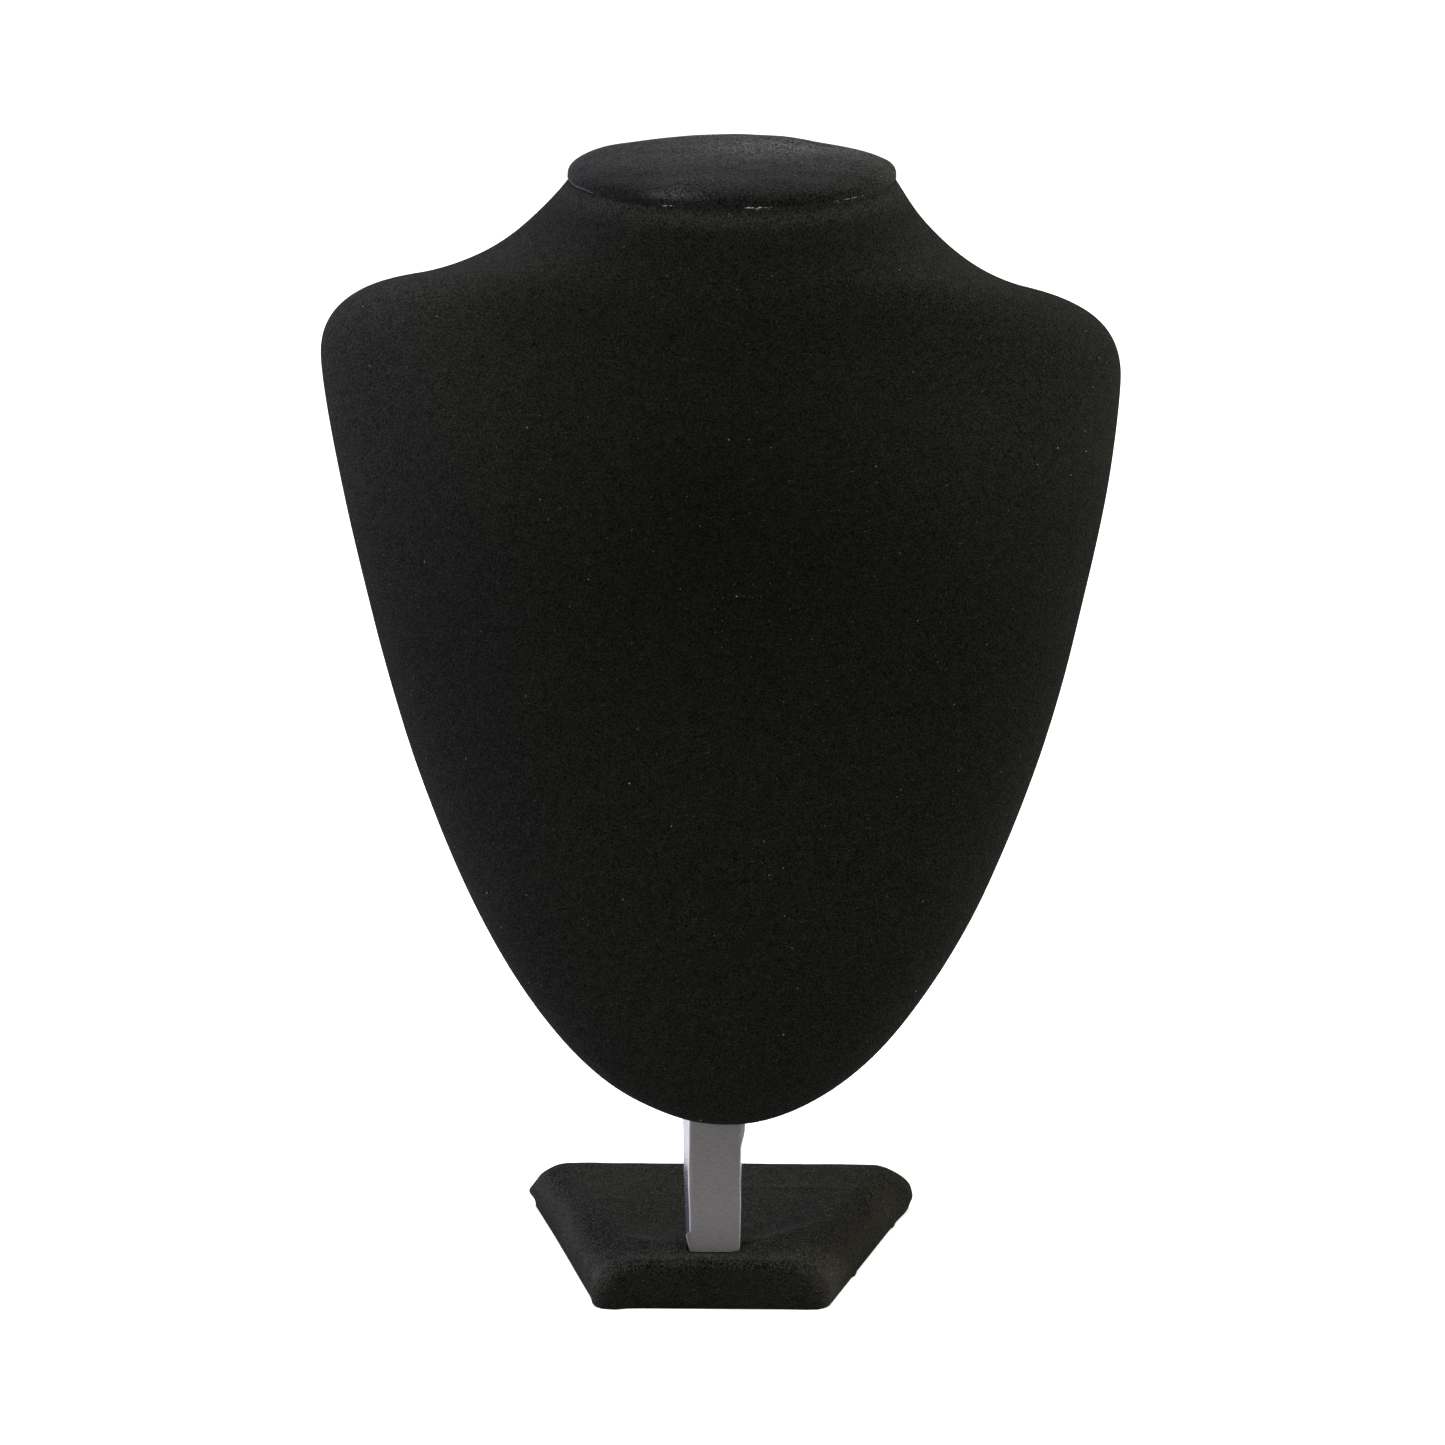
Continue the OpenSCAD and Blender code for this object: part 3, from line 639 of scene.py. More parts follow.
# %% Pile of the cap
rub = largest_hump(cap_x, (1.0, 7, 12), (0.92, -15, 9), (0.9, 33, 12)) * cap_near * hump(t_grid, 2.0, 0.11)
crisp = 0.45 - 0.5 * ease((t_grid - 1.0) / 0.4)
# Painted light and shade: the far rim and the top behind the middle paler, a painted highlight on the front dimple and
# along the far crease, and the front and the left end darker.
lay = (0.5 * ease((t_grid - 1.15) / 0.35) * (cap_y > 0) * hump(cap_x, -14, 24)
       + 1.1 * hump(cap_x, -15, 7) * cap_near * hump(t_grid, 1.45, 0.25)
       + 1.4 * hump(cap_y - 0.16 * cap_x, 26.0, 1.3) * hump(cap_x, -9, 14)
       + 1.85 * hump(cap_x, 13, 20) * hump(cap_y, 11, 9)
       - 0.33 * ease((-cap_y - 4) / 14) - 0.2 * ease((-cap_x - 14) / 16))
cap_cloth = make_piece("neck_cap_cloth", from_neck(points), faces, rub=rub, lay=lay, crisp=crisp)
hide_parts("neck_cap_velvet")

# %% [markdown]
# ## The base
#
# A tapered board with rounded long sides and flat ends, and velvet pulled over it and glued underneath.
# It is the overlap of two simple shapes, so each gets a distance field: a quarter oval for the long
# sides, wider in front where the photograph shows a slower curve, and two flat ends. The overlap is
# rounded, as thick cloth is over an edge. Each point of the cloth is found by walking outwards from a
# line inside until it meets that surface. A modelled and bevelled block would need its corners mended
# by hand.

# %% Distance field of the base
side_angle = math.atan((base_back_w - base_front_w) / 2 / base_d)
bullnose_r, front_wide, end_r, sheet_t = 9.7, 13.5, 3.8, 0.4


def side_distance(x, y, z):
    """Distance outside the rounded long sides: past the rounding's centre line it is a quarter oval, wider in
    front, scaled so that it grows by about 1 mm for each mm outwards."""
    wide = mix(front_wide, bullnose_r, ease((y + base_d / 2) / 60))
    half = mix(base_front_w, base_back_w, (y + base_d / 2) / base_d) / 2
    across = (np.abs(x) - half) * math.cos(side_angle) + wide
    up = z - (base_t - bullnose_r)
    rounded = (np.hypot(across / wide, up / bullnose_r) - 1) * bullnose_r
    return np.where((across > 0) & (up > 0), rounded, np.maximum(across - wide, up - bullnose_r))


def base_distance(p):
    """Overlap of the sides with the two flat ends, its edges rounded by end_r: the distances past the lines that lie
    end_r inside each surface are combined as the two legs of a right triangle. The underside is flat."""
    x, y, z = np.moveaxis(p, -1, 0)
    a, b = side_distance(x, y, z), np.abs(y) - base_d / 2
    r = mix(mix(end_r, end_r - 1.9, ease(y / 30)), end_r, ease((z - 8.5) / 4))
    joined = np.minimum(np.maximum(a, b), -r) + np.hypot(np.maximum(a + r, 0), np.maximum(b + r, 0))
    return joined, np.maximum(joined, sheet_t - z)


print("middle of the top is", round(float(base_distance(np.array([0.0, 0.0, base_t]))[1]), 2), "mm off the surface")

# %% Outline of the base
def rounded_outline(half_front, half_back, front, back, radius, count):
    """A closed rounded trapezium: points and outward directions, spaced evenly along its length, closer at the
    corners. Each corner is an arc about a centre set in from both edges."""
    arc_points, corner_weight = 40, 3.5
    slope = math.atan((half_back - half_front) / (back - front))
    lean_out = math.degrees(slope)
    corners = []
    for y, inward, arc in ((front, 1, (-90, -lean_out)), (back, -1, (-lean_out, 90))):
        cy = y + inward * radius
        cx = mix(half_front, half_back, (cy - front) / (back - front)) - radius / math.cos(slope)
        turn = np.radians(np.linspace(*arc, arc_points))
        way = np.stack([np.cos(turn), np.sin(turn)], -1)
        corners.append((np.array([cx, cy]) + radius * way, way))
    right = [np.concatenate(c) for c in zip(*corners)]
    flip = np.array([-1.0, 1.0])
    loop, out = [np.concatenate([r, r[::-1] * flip]) for r in right]
    loop, out = np.vstack([loop, loop[:1]]), np.vstack([out, out[:1]])
    gone, turned_by = [np.linalg.norm(np.diff(line, axis=0), axis=1) for line in (loop, out)]
    run = np.concatenate([[0], np.cumsum(gone + corner_weight * turned_by)])
    even = np.linspace(0, run[-1], count + 1)[:-1]
    places, ways = [np.stack([np.interp(even, run, line[:, k]) for k in (0, 1)], -1) for line in (loop, out)]
    return places, ways / np.linalg.norm(ways, axis=1, keepdims=True)


round_count = 360
spine_side, spine_end, spine_z = 12.0, 3.4, 5.0
spine, outward = rounded_outline(base_front_w / 2 - spine_side, base_back_w / 2 - spine_side,
                                 -base_d / 2 + spine_end, base_d / 2 - spine_end, 1.2, round_count)
slit_middle = np.array([strut_offset - 0.6, strut_y + base_t * math.tan(lean) + strut_t / 2 / math.cos(lean)])
slit_half = np.array([strut_foot_w / 2 + 0.55, strut_t / 2 / math.cos(lean) + 0.2])
away = spine - slit_middle
slit = slit_middle + away / np.max(np.abs(away) / slit_half, axis=1, keepdims=True)
print(f"base outline {round_count} points, slot {2 * slit_half[0]:.1f} x {2 * slit_half[1]:.1f} mm")


# %% Walk out to the surface
def at_height(line, heights):
    """Rows of points, one for each height: a flat line repeated, or a grid whose rows are flat lines."""
    rows = np.broadcast_to(line, (len(heights),) + line.shape[-2:])
    return np.concatenate([rows, np.broadcast_to(np.reshape(heights, (-1, 1, 1)), rows.shape[:2] + (1,))], -1)


over_top = mix(slit[None], spine[None], (np.linspace(0, 1, 48) ** 0.85)[:, None, None])
turns = np.radians(np.linspace(0, 90, 31)[1:])
levels = np.linspace(spine_z, 0.06, 15)[1:]
start = np.concatenate([over_top, np.repeat(spine[None], len(turns) + len(levels), 0)])
tilt = np.concatenate([np.zeros(len(over_top)), turns, np.full(len(levels), np.pi / 2)])
height = np.concatenate([np.full(len(over_top) + len(turns), spine_z), levels])
origin = at_height(start, height)
ray = at_height(outward * np.sin(tilt)[:, None, None], np.cos(tilt))
farthest, halvings = 60.0, 34
near, far = np.zeros(start.shape[:2]), np.full(start.shape[:2], farthest)
for _ in range(halvings):
    half_way = (near + far) / 2
    open_below, closed = base_distance(origin + ray * half_way[..., None])
    inside = np.where(tilt[:, None] == np.pi / 2, open_below, closed) < 0
    near, far = np.where(inside, half_way, near), np.where(inside, far, half_way)
print(f"{near.size} points found to within {np.max(far - near):.1e} mm")

# %% Rows of the base cloth
# From the inside out: a lip down the strut's slot, the shell, and a hem under the board.
under_r, hem_rise = 0.5, 1.8
under_turn = under_r * (1 - np.sqrt(np.clip(1 - (np.clip(0.56 - height, 0, under_r) / under_r) ** 2, 0, 1)))
shell = origin + ray * (near - under_turn[:, None])[..., None]
lip = at_height(slit, base_t - np.array([3.2, 1.8, 0.6]))
hem_in = np.array([0.4, 1.0, 1.8, 3.0, 4.5, 6.0, 8.0])
hem = shell[-1][None] - at_height(outward, [0.0]) * hem_in[:, None, None]
hem[..., 2] += ((sheet_t - 0.06) * ease(hem_in / hem_rise))[:, None]
base_face = np.concatenate([lip, shell, hem])
print(f"base grid {base_face.shape[0]} x {base_face.shape[1]}, top at {base_face[..., 2].max():.2f} mm")

# %% [markdown]
# The cloth on the base isn't flat: it dips where it goes down the strut's slot, stands in low ridges
# where it was pulled from the slot's front corners, is dented near the right edge, and has a pinch of
# spare cloth at the far left corner and two small lumps along the right edge. Its colour has painted light
# and shade: the rim round its front end is painted paler, which leaves a darker arc on the front face.

# %% Folds of the base velvet
deepest_dent, least_face_z, least_lining_z = -0.62, 0.03, 0.1


def along_line(x, y, a, b, width):
    """A soft ridge along the line from a to b: a bell across it that fades towards b."""
    ax, ay, bx, by = *a, *b
    length = math.hypot(bx - ax, by - ay)
    t = ((x - ax) * (bx - ax) + (y - ay) * (by - ay)) / length**2
    off = ((x - ax) * (by - ay) - (y - ay) * (bx - ax)) / length
    return np.exp(-((off / width) ** 2)) * ease(t / 0.2 + 0.6) * (1 - ease((t - 0.35) / 0.75))


x, y, z = np.moveaxis(base_face, -1, 0)
left, right, on_side = x < 0, x > 0, 1 - ease((z - 9) / 4)
from_slit = np.hypot(*[np.maximum(np.abs(p - m) - h, 0) for p, m, h in zip((x, y), slit_middle, slit_half)])
ridges = along_line(x, y, (7.5, -41), (27, -12), 2.8) + 0.9 * along_line(x, y, (-8.5, -41), (-26, -24), 2.8)
hollows = patches(x, y, (0.45, (20, 15), (23, 2.2)), (0.2, (-27, 12), (10, 3)), (-0.6, (43, 6.5), (8, 9)))
folds = (1.15 * ridges + hollows - 0.35 * hump(from_slit, 0, 2.6)) * ease((z - 10.0) / 2.5)
lumps = (2.0 * hump(x, -54, 3.0) * hump(y, 49.0, 3.0) * hump(z, 5.0, 1.9)
         + 0.5 * hump(y, 46, 6) * left * hump(z, 7, 3) + 2.3 * hump(y, 45, 7) * right * hump(z, 5.0, 3.8)
         + (0.5 * hump(y, 30, 2.4) + 0.6 * hump(y, -18, 2.0)) * right * hump(z, 2.0, 4)
         + 0.05 * (x > 25) * on_side + 0.75 * ease((24 - y) / 70) * (x < -25) * on_side
         + 0.9 * hump(x, -31, 5) * hump(y, -50, 6) * on_side)
uneven = 0.16 * slow_waves(x, y, 34, 21) + 0.06 * slow_waves(x, y + 2 * z, 11, 22)
above_hem = (np.arange(len(base_face)) < len(base_face) - len(hem_in))[:, None] * (z > least_face_z)
proud = folds + lumps * ease((z + 0.6) / 1.5) * above_hem + uneven * ease((z - 0.5) / 2.5) * ease(from_slit / 2)
print(f"folds and lumps from {proud.min():.2f} to {proud.max():.2f} mm")

# %% Base velvet
base_normals = surface_normals(base_face, wrap=True)
base_normals *= np.sign(base_normals[20, 0, 2])
base_face = base_face + base_normals * np.maximum(proud, deepest_dent)[..., None]
base_face[..., 2] = np.maximum(base_face[..., 2], least_face_z)
base_lining = base_face - base_normals * (velvet_t * 0.95)
base_lining[..., 2] = np.maximum(base_lining[..., 2], least_lining_z)
points, faces = closed_sheet(base_face, base_lining, wrap=True)
# Painted light: the rim round the front end is paler outside an oval arc on the front face, and plain inside it.
arc_reach = np.hypot(np.maximum(np.abs(x + 0.5) - 17.0, 0) / 14.5, np.maximum(z - 0.8, 0) / 12.2)
painted_rim_light = 0.8 - 0.78 * (1 - ease((arc_reach - 0.9) / 0.16))
# Painted light and shade: the back and front ends, the ridges and the left side paler, and a few paler and darker
# patches.
lay = (0.2 * hump(y, 49, 5) + 0.45 * ridges + 0.15 * hump(y, -44, 6) + (1 - ease((y + 50.6) / 2.2)) * painted_rim_light
       + patches(x, y, (0.3, (46, 7), (30, 20)), (-0.1, (24, 18), (-10, 14)), (0.4, (27, 12), (-38, 10)))
       + 0.6 * left * hump(z, 8.5, 3.5) * (y > -50))
crisp = 1.15 * ease((z - 9.5) / 2.5) - 0.75
base_cloth = make_piece("base_velvet_cloth", points, faces, lay=lay, crisp=crisp)
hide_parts("base_velvet")

# %% [markdown]
# The board under the cloth has the same eased edges and folds, so the cloth lies on it without a gap. It is
# made from the lining's own rows, a hair further in.

# %% The board under it
board_under = sheet_t + velvet_t
lined = base_lining[len(lip):len(lip) + len(shell)]
above = lined[..., 2].min(1) > board_under + 0.05
kept = lined[above] - 0.02 * base_normals[len(lip):len(lip) + len(shell)][above]
walls = at_height(base_lining[0, :, :2], [board_under, base_t - 4.5])
inset = at_height(kept[-1, :, :2] - outward * 0.15, [board_under])
board_rows = np.concatenate([walls, kept, inset])
number = np.arange(board_rows[..., 0].size).reshape(board_rows.shape[:2])
faces = np.concatenate([grid_quads(*number.shape, wrap=True), border_quads(number[-1], number[0], wrap=True)])
eased_board = make_piece("base_board_eased", board_rows.reshape(-1, 3), faces)
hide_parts("base_board")
print(f"board with eased edges: {len(eased_board.data.polygons)} faces")

# %% [markdown]
# ## The strut's paper
#
# A flat bar wrapped in grey paper, glued with a lap down the back. Its left side splays a little, so the
# camera sees it at a grazing angle, where even matt paper mirrors what lies behind: the white room
# above, the dark base below. The edges wander by a few tenths, and at the foot a corner of paper has
# lifted. The paper keeps two numbers at its points: worn where an edge has rubbed pale, and painted shade,
# which darkens its sides and its foot.

# %% Strut paper
def strut_section(v):
    """The four corners of the bar at height v, front left first and then round by the front right. The width
    grows from the foot to the bust's tip, and small bells make the edges wander."""
    rise = np.clip(v / bust_lift, 0, 1)
    half = mix(strut_foot_w, strut_w, rise) / 2
    splay = strut_splay * mix(0.5, 1, rise)
    flare = np.maximum(0.8 * ease((v - 42) / 6) - 0.75 * hump(v, 38, 7) + 0.12 * np.cos(v / 6.1), -0.36)
    left = 0.1 * np.cos(v / 4.3 + 1) + 0.12 * np.cos(v / 9.7)
    corners = [(-half + left, 0 * v), (half + flare, 0 * v), (half + 0.6 * flare, strut_t + 0 * v),
               (-half - splay + 0.5 * left, strut_t + 0 * v)]
    return np.stack([np.stack(c, -1) for c in corners], -2)


def around(corners, radius, along):
    """Walks round a four-cornered section with rounded corners: each corner is a quadratic curve between points set
    back by the radius, and each side gets evenly spaced points."""
    pieces = []
    for k in range(4):
        before, here, after = corners[..., k - 1, :], corners[..., k, :], corners[..., (k + 1) % 4, :]
        to_before = (before - here) / np.linalg.norm(before - here, axis=-1, keepdims=True)
        to_after = (after - here) / np.linalg.norm(after - here, axis=-1, keepdims=True)
        a, b = here + to_before * radius, here + to_after * radius
        for t in np.linspace(0, 1, 6):
            pieces.append((1 - t) ** 2 * a + 2 * (1 - t) * t * here + t**2 * b)
        end = after - to_after * radius
        for t in np.linspace(0, 1, along + 2)[1:-1]:
            pieces.append(mix(b, end, t))
    return np.stack(pieces, -2)


heights = np.concatenate([np.linspace(4.9, 60, 90), np.linspace(60, strut_len - 0.6, 60)[1:]])
paper_corner_r, side_points = 0.55, 12
ring = around(strut_section(heights), paper_corner_r, side_points)
lap = (ring[..., 1] > strut_t - 0.3) * ease((2.4 - ring[..., 0]) / 0.25) * ease((ring[..., 0] + 9.5) / 0.5)
v_ring = np.broadcast_to(heights[:, None], ring.shape[:2])
puff = 0.08 * slow_waves(ring[..., 0] * 2, v_ring, 18, 31) + 0.04 * slow_waves(ring[..., 0] * 3, v_ring, 6, 32)
centre = np.array([-0.6, strut_t / 2])
out_way = ring - centre
out_way /= np.linalg.norm(out_way, axis=-1, keepdims=True)
ring = ring + out_way * np.maximum(puff, -0.08)[..., None]
ring[..., 1] += 0.32 * lap
print(f"paper: {ring.shape[0]} rows of {ring.shape[1]} points, lap {0.32 * lap.max():.2f} mm")


# %% Ends and wear of the paper
def closing_ring(last, share, v):
    """A ring drawn in towards the bar's middle to the given share, at height v."""
    return at_height(centre + (last - centre) * share, [v])[0]


foot = [closing_ring(ring[0], share, heights[0]) for share in (0.02, 0.5)]
tops = [closing_ring(ring[-1], share, strut_len - 0.35 * (1 - rise))
        for share, rise in ((0.97, 0.3), (0.9, 0.8), (0.5, 1.0), (0.02, 1.0))]
paper = np.concatenate([foot, at_height(ring, heights), tops])
number = np.arange(paper[..., 0].size).reshape(paper.shape[:2])
faces = [list(f) for f in grid_quads(*number.shape, wrap=True)] + [list(number[0]), list(number[-1])[::-1]]
x, y, z = np.moveaxis(paper, -1, 0)
edge_wear = hump(np.abs(x), strut_w / 2, 0.5) * (y < 1.2)
# Painted shade: the sides and the back's edges are darker, a little less so higher up.
grubby = ease((y - 0.5) / 1.2) * (np.abs(x) > strut_foot_w / 2 - 0.6) * (1 - 0.3 * ease((z - 30) / 12))
# Painted shade low on the bar, near the foot.
grubby = np.maximum(grubby, 0.13 * (1 - ease((z - 15) / 16)))
strut_paper = make_piece("strut_paper", from_strut(paper.reshape(-1, 3)), faces, sharp_angle=60,
                         worn=edge_wear, grubby=grubby)
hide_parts("strut_wrap")
print(f"strut paper: {len(strut_paper.data.polygons)} faces")

# %% Lifted corner of the paper
flap_t, flap_foot, flap_tall = 0.16, 13.9, 5.4
flap_u, flap_v = np.meshgrid(np.linspace(0, 1, 9), np.linspace(0, 1, 15), indexing="ij")
sticks_out = flap_u * (0.05 + 1.45 * flap_v**0.9 * (1 - 0.8 * ease((flap_v - 0.86) / 0.14)))
flap_face = np.stack([-strut_foot_w / 2 - 0.1 - sticks_out, -0.12 - 0.9 * (sticks_out / 1.7) ** 2,
                      flap_foot + flap_tall * flap_v], -1)
n = flap_v.size
number = np.arange(n).reshape(flap_v.shape)
borders = [border_quads(number[0], number[0] + n), border_quads(number[-1] + n, number[-1]),
           border_quads(number[:, 0] + n, number[:, 0]), border_quads(number[:, -1], number[:, -1] + n)]
faces = np.concatenate([grid_quads(*flap_v.shape), grid_quads(*flap_v.shape, start=n)[:, ::-1], *borders])
points = np.concatenate([flap_face.reshape(-1, 3), (flap_face + np.array([0.0, flap_t, 0.0])).reshape(-1, 3)])
rim_white = 2.2 * np.tile((flap_u > 0.8).ravel(), 2)
# The flap is darkened a little with painted shade.
flap = make_piece("paper_flap", from_strut(points), faces, worn=rim_white, grubby=np.full(len(rim_white), 0.4))
print("paper flap at the foot")

# %% [markdown]
# ## Velvet as a material
#
# Velvet is nearly black when looked at straight and paler at a glancing angle, because the light then
# strikes the sides of its pile. The Principled shader's sheen does a little of that, and painted light and
# shade kept at the points does the rest: the pile's colour is multiplied by 1 + lay. On top come a fine grain,
# slow cloudy patches where the pile lies differently, and lint. Grain, lint and rubbed patches are node
# groups, so that the bust, the cap and the base share them and each sets its own amounts.

# %% Group: pile
def new_group(name, inputs, outputs):
    """A shader node group with named sockets, and its two end nodes."""
    group = bpy.data.node_groups.new(name, "ShaderNodeTree")
    for label, kind, value in inputs:
        socket = group.interface.new_socket(name=label, in_out="INPUT", socket_type=kind)
        if value is not None:
            socket.default_value = value
    for label, kind in outputs:
        group.interface.new_socket(name=label, in_out="OUTPUT", socket_type=kind)
    give, take = group.nodes.new("NodeGroupInput"), group.nodes.new("NodeGroupOutput")
    return group, give.outputs, take.inputs


COLOUR, NUMBER, VECTOR = "NodeSocketColor", "NodeSocketFloat", "NodeSocketVector"
pile, give, take = new_group(
    "pile",
    [("Place", VECTOR, None), ("Deep", COLOUR, (0.004, 0.004, 0.004, 1)), ("Raised", COLOUR, (0.02, 0.02, 0.02, 1)),
     ("Patchy", NUMBER, 0.3), ("Depth", NUMBER, 0.0003), ("Painted Shading", NUMBER, 0.0), ("Fineness", NUMBER, 2300.0),
     ("Crisp", NUMBER, 0.0)],
    [("Color", COLOUR), ("Normal", VECTOR)])
fine = noise(pile, give["Place"], give["Fineness"], 1.0, 0.6)
middling = noise(pile, give["Place"], 420.0, 3.0, 0.65)
cloud = noise(pile, give["Place"], 22.0, 3.0, 0.55, 0.6)
grain = math_node(pile, "ADD", math_node(pile, "MULTIPLY", fine, 0.82), math_node(pile, "MULTIPLY", middling, 0.18))
# A crisper grain has its two ends closer together.
from_low = math_node(pile, "ADD", math_node(pile, "MULTIPLY", give["Crisp"], 0.1), 0.36)
from_high = math_node(pile, "SUBTRACT", 0.72, math_node(pile, "MULTIPLY", give["Crisp"], 0.12))
sharp = math_node(pile, "MULTIPLY", in_range(pile, grain, from_low, from_high), 0.7)
cloudy = math_node(pile, "MULTIPLY", math_node(pile, "SUBTRACT", cloud, 0.5), give["Patchy"])
tone = math_node(pile, "ADD", sharp, math_node(pile, "MULTIPLY", cloudy, 2.0), clamp=True)
# The pile's colour is multiplied by 1 + Painted Shading: painted light and shade kept at the piece's points.
painted_pile = add_node(pile, "ShaderNodeVectorMath", {
    0: colour_mix(pile, tone, give["Deep"], give["Raised"]), "Scale": math_node(pile, "ADD", give["Painted Shading"], 1.0)},
    operation="SCALE")
pile.links.new(painted_pile.outputs["Vector"], take["Color"])
pile.links.new(bumps(pile, grain, give["Depth"], 1.0), take["Normal"])
print("pile group ready")

# %% [markdown]
# Lint in the pile is too small to be a mesh: most specks are dim and a few are bright. A Voronoi texture
# gives each cell a random colour, whose red chooses the cells that hold a speck, green sets its size and
# blue its brightness.

# %% Group: lint
lint, give, take = new_group(
    "lint",
    [("Place", VECTOR, None), ("Amount", NUMBER, 0.25), ("Size", NUMBER, 0.075), ("Cells", NUMBER, 520.0)],
    [("Mask", NUMBER)])
cells = add_node(lint, "ShaderNodeTexVoronoi", {"Vector": give["Place"], "Scale": give["Cells"], "Randomness": 1.0})
dice = add_node(lint, "ShaderNodeSeparateColor", {"Color": cells.outputs["Color"]}).outputs
radius = math_node(lint, "MULTIPLY", give["Size"], math_node(lint, "ADD", dice["Green"], 0.4))
speck = math_node(lint, "LESS_THAN", cells.outputs["Distance"], radius)
specks = math_node(lint, "MULTIPLY", speck, math_node(lint, "LESS_THAN", dice["Red"], give["Amount"]))
bright = math_node(lint, "MULTIPLY", math_node(lint, "POWER", dice["Blue"], 6.0), 0.6)
lint.links.new(math_node(lint, "MULTIPLY", specks, math_node(lint, "ADD", bright, 0.05)), take["Mask"])
print("lint group ready")

# %% Group: rubbed
rubbed, give, take = new_group(
    "rubbed",
    [("Place", VECTOR, None), ("Where", NUMBER, 0.0), ("Cut", NUMBER, 0.6)],
    [("Mask", NUMBER)])
crumbs = math_node(rubbed, "MULTIPLY", noise(rubbed, give["Place"], 780.0, 3.0, 0.75), give["Where"])
flecks = in_range(rubbed, crumbs, give["Cut"], math_node(rubbed, "ADD", give["Cut"], 0.08))
rubbed.links.new(flecks, take["Mask"])
print("rubbed group ready")


# %% Velvet
lint_grey = (0.42, 0.41, 0.38, 1)


def velvet(name, deep, raised, patchy, lint_amount, rub_strength, sheen, fineness, drawn_out, tint):
    """Black velvet: pile colour and bump, lint and rubbed flecks over it, and a constant sheen. The grain is
    stretched from front to back where drawn_out is below 1."""
    material, tree = new_tree(name)
    place = on_object(tree)
    drawn = add_node(tree, "ShaderNodeMapping", {"Vector": place, "Scale": (1.0, drawn_out, 1.0)}).outputs[0]
    nap = add_node(tree, "ShaderNodeGroup", {
        "Place": drawn, "Deep": (*deep, 1), "Raised": (*raised, 1), "Patchy": patchy, "Painted Shading": stored(tree, "lay"),
        "Fineness": fineness, "Crisp": stored(tree, "crisp")}, node_tree=pile).outputs
    dust = add_node(tree, "ShaderNodeGroup", {"Place": place, "Amount": lint_amount}, node_tree=lint).outputs["Mask"]
    where = math_node(tree, "MULTIPLY", stored(tree, "rub"), rub_strength)
    wear = add_node(tree, "ShaderNodeGroup", {"Place": place, "Where": where, "Cut": 0.47}, node_tree=rubbed)
    mask = math_node(tree, "MAXIMUM", dust, wear.outputs["Mask"])
    show(tree, add_node(tree, "ShaderNodeBsdfPrincipled", {
        "Base Color": colour_mix(tree, mask, nap["Color"], lint_grey), "Roughness": 0.9,
        "Specular IOR Level": 0.0, "Sheen Weight": sheen, "Sheen Roughness": 0.5, "Sheen Tint": (*tint, 1),
        "Normal": nap["Normal"]}))
    return material


def dress(obj, material):
    """Gives a piece this material alone."""
    obj.data.materials.clear()
    obj.data.materials.append(material)


dress(bust_cloth, velvet(
    "bust velvet", deep=(0.0023, 0.0023, 0.0020), raised=(0.0216, 0.0214, 0.0182), patchy=0.05, lint_amount=0.3,
    rub_strength=1.0, sheen=0.02, fineness=2250.0, drawn_out=1.0, tint=(0.75, 0.75, 0.75)))
# The cap's and the base's pile colours are paler copies of the bust's velvet: the same cloth, painted paler for the
# light that falls on them.
dress(cap_cloth, velvet(
    "cap velvet painted paler", deep=(0.0025, 0.0025, 0.0024), raised=(0.043, 0.0425, 0.0385), patchy=0.2, lint_amount=0.3,
    rub_strength=1.09, sheen=0.08, fineness=2000.0, drawn_out=0.5, tint=(0.75, 0.75, 0.73)))
dress(base_cloth, velvet(
    "base velvet painted paler", deep=(0.0012, 0.0012, 0.0010), raised=(0.0325, 0.0317, 0.0260), patchy=0.2, lint_amount=0.38,
    rub_strength=0.0, sheen=0.034, fineness=2300.0, drawn_out=0.42, tint=(0.75, 0.74, 0.64)))
print("velvet on bust, cap and base")

# %% [markdown]
# ## Paper, card, board and screws
#
# The covering paper has a fine fibre and a slight gloss, paler where an edge has rubbed and darker where
# shade is painted on its sides and foot. The hidden pieces get plain but real finishes too, for the view from behind
# and below.

# %% Covering paper
paper_grey, tree = new_tree("covering paper")
place = on_object(tree)
stretched = add_node(tree, "ShaderNodeMapping", {"Vector": place, "Scale": (0.6, 1.0, 1.3)}).outputs[0]
fibre = noise(tree, stretched, 1300.0, 2.0, 0.7)
blotch = math_node(tree, "MULTIPLY", noise(tree, place, 60.0, 2.0), 0.25)
shade = colour_mix(tree, fibre, (0.097, 0.086, 0.085, 1), (0.184, 0.167, 0.164, 1))
shade = colour_mix(tree, blotch, shade, (0.12, 0.122, 0.14, 1))
# Painted shade: the sides and the foot are mixed towards a dark blue-grey.
shade = colour_mix(tree, stored(tree, "grubby"), shade, (0.035, 0.036, 0.042, 1))
rough_edge = math_node(tree, "MULTIPLY", stored(tree, "worn"), math_node(tree, "MULTIPLY_ADD", fibre, 0.9, 0.5))
show(tree, add_node(tree, "ShaderNodeBsdfPrincipled", {
    "Base Color": colour_mix(tree, rough_edge, shade, (0.26, 0.25, 0.25, 1)), "Roughness": 0.24,
    "Specular IOR Level": 0.5, "Normal": bumps(tree, fibre, 0.00015, 0.35)}))
dress(strut_paper, paper_grey)
dress(flap, paper_grey)
print("paper on the strut")


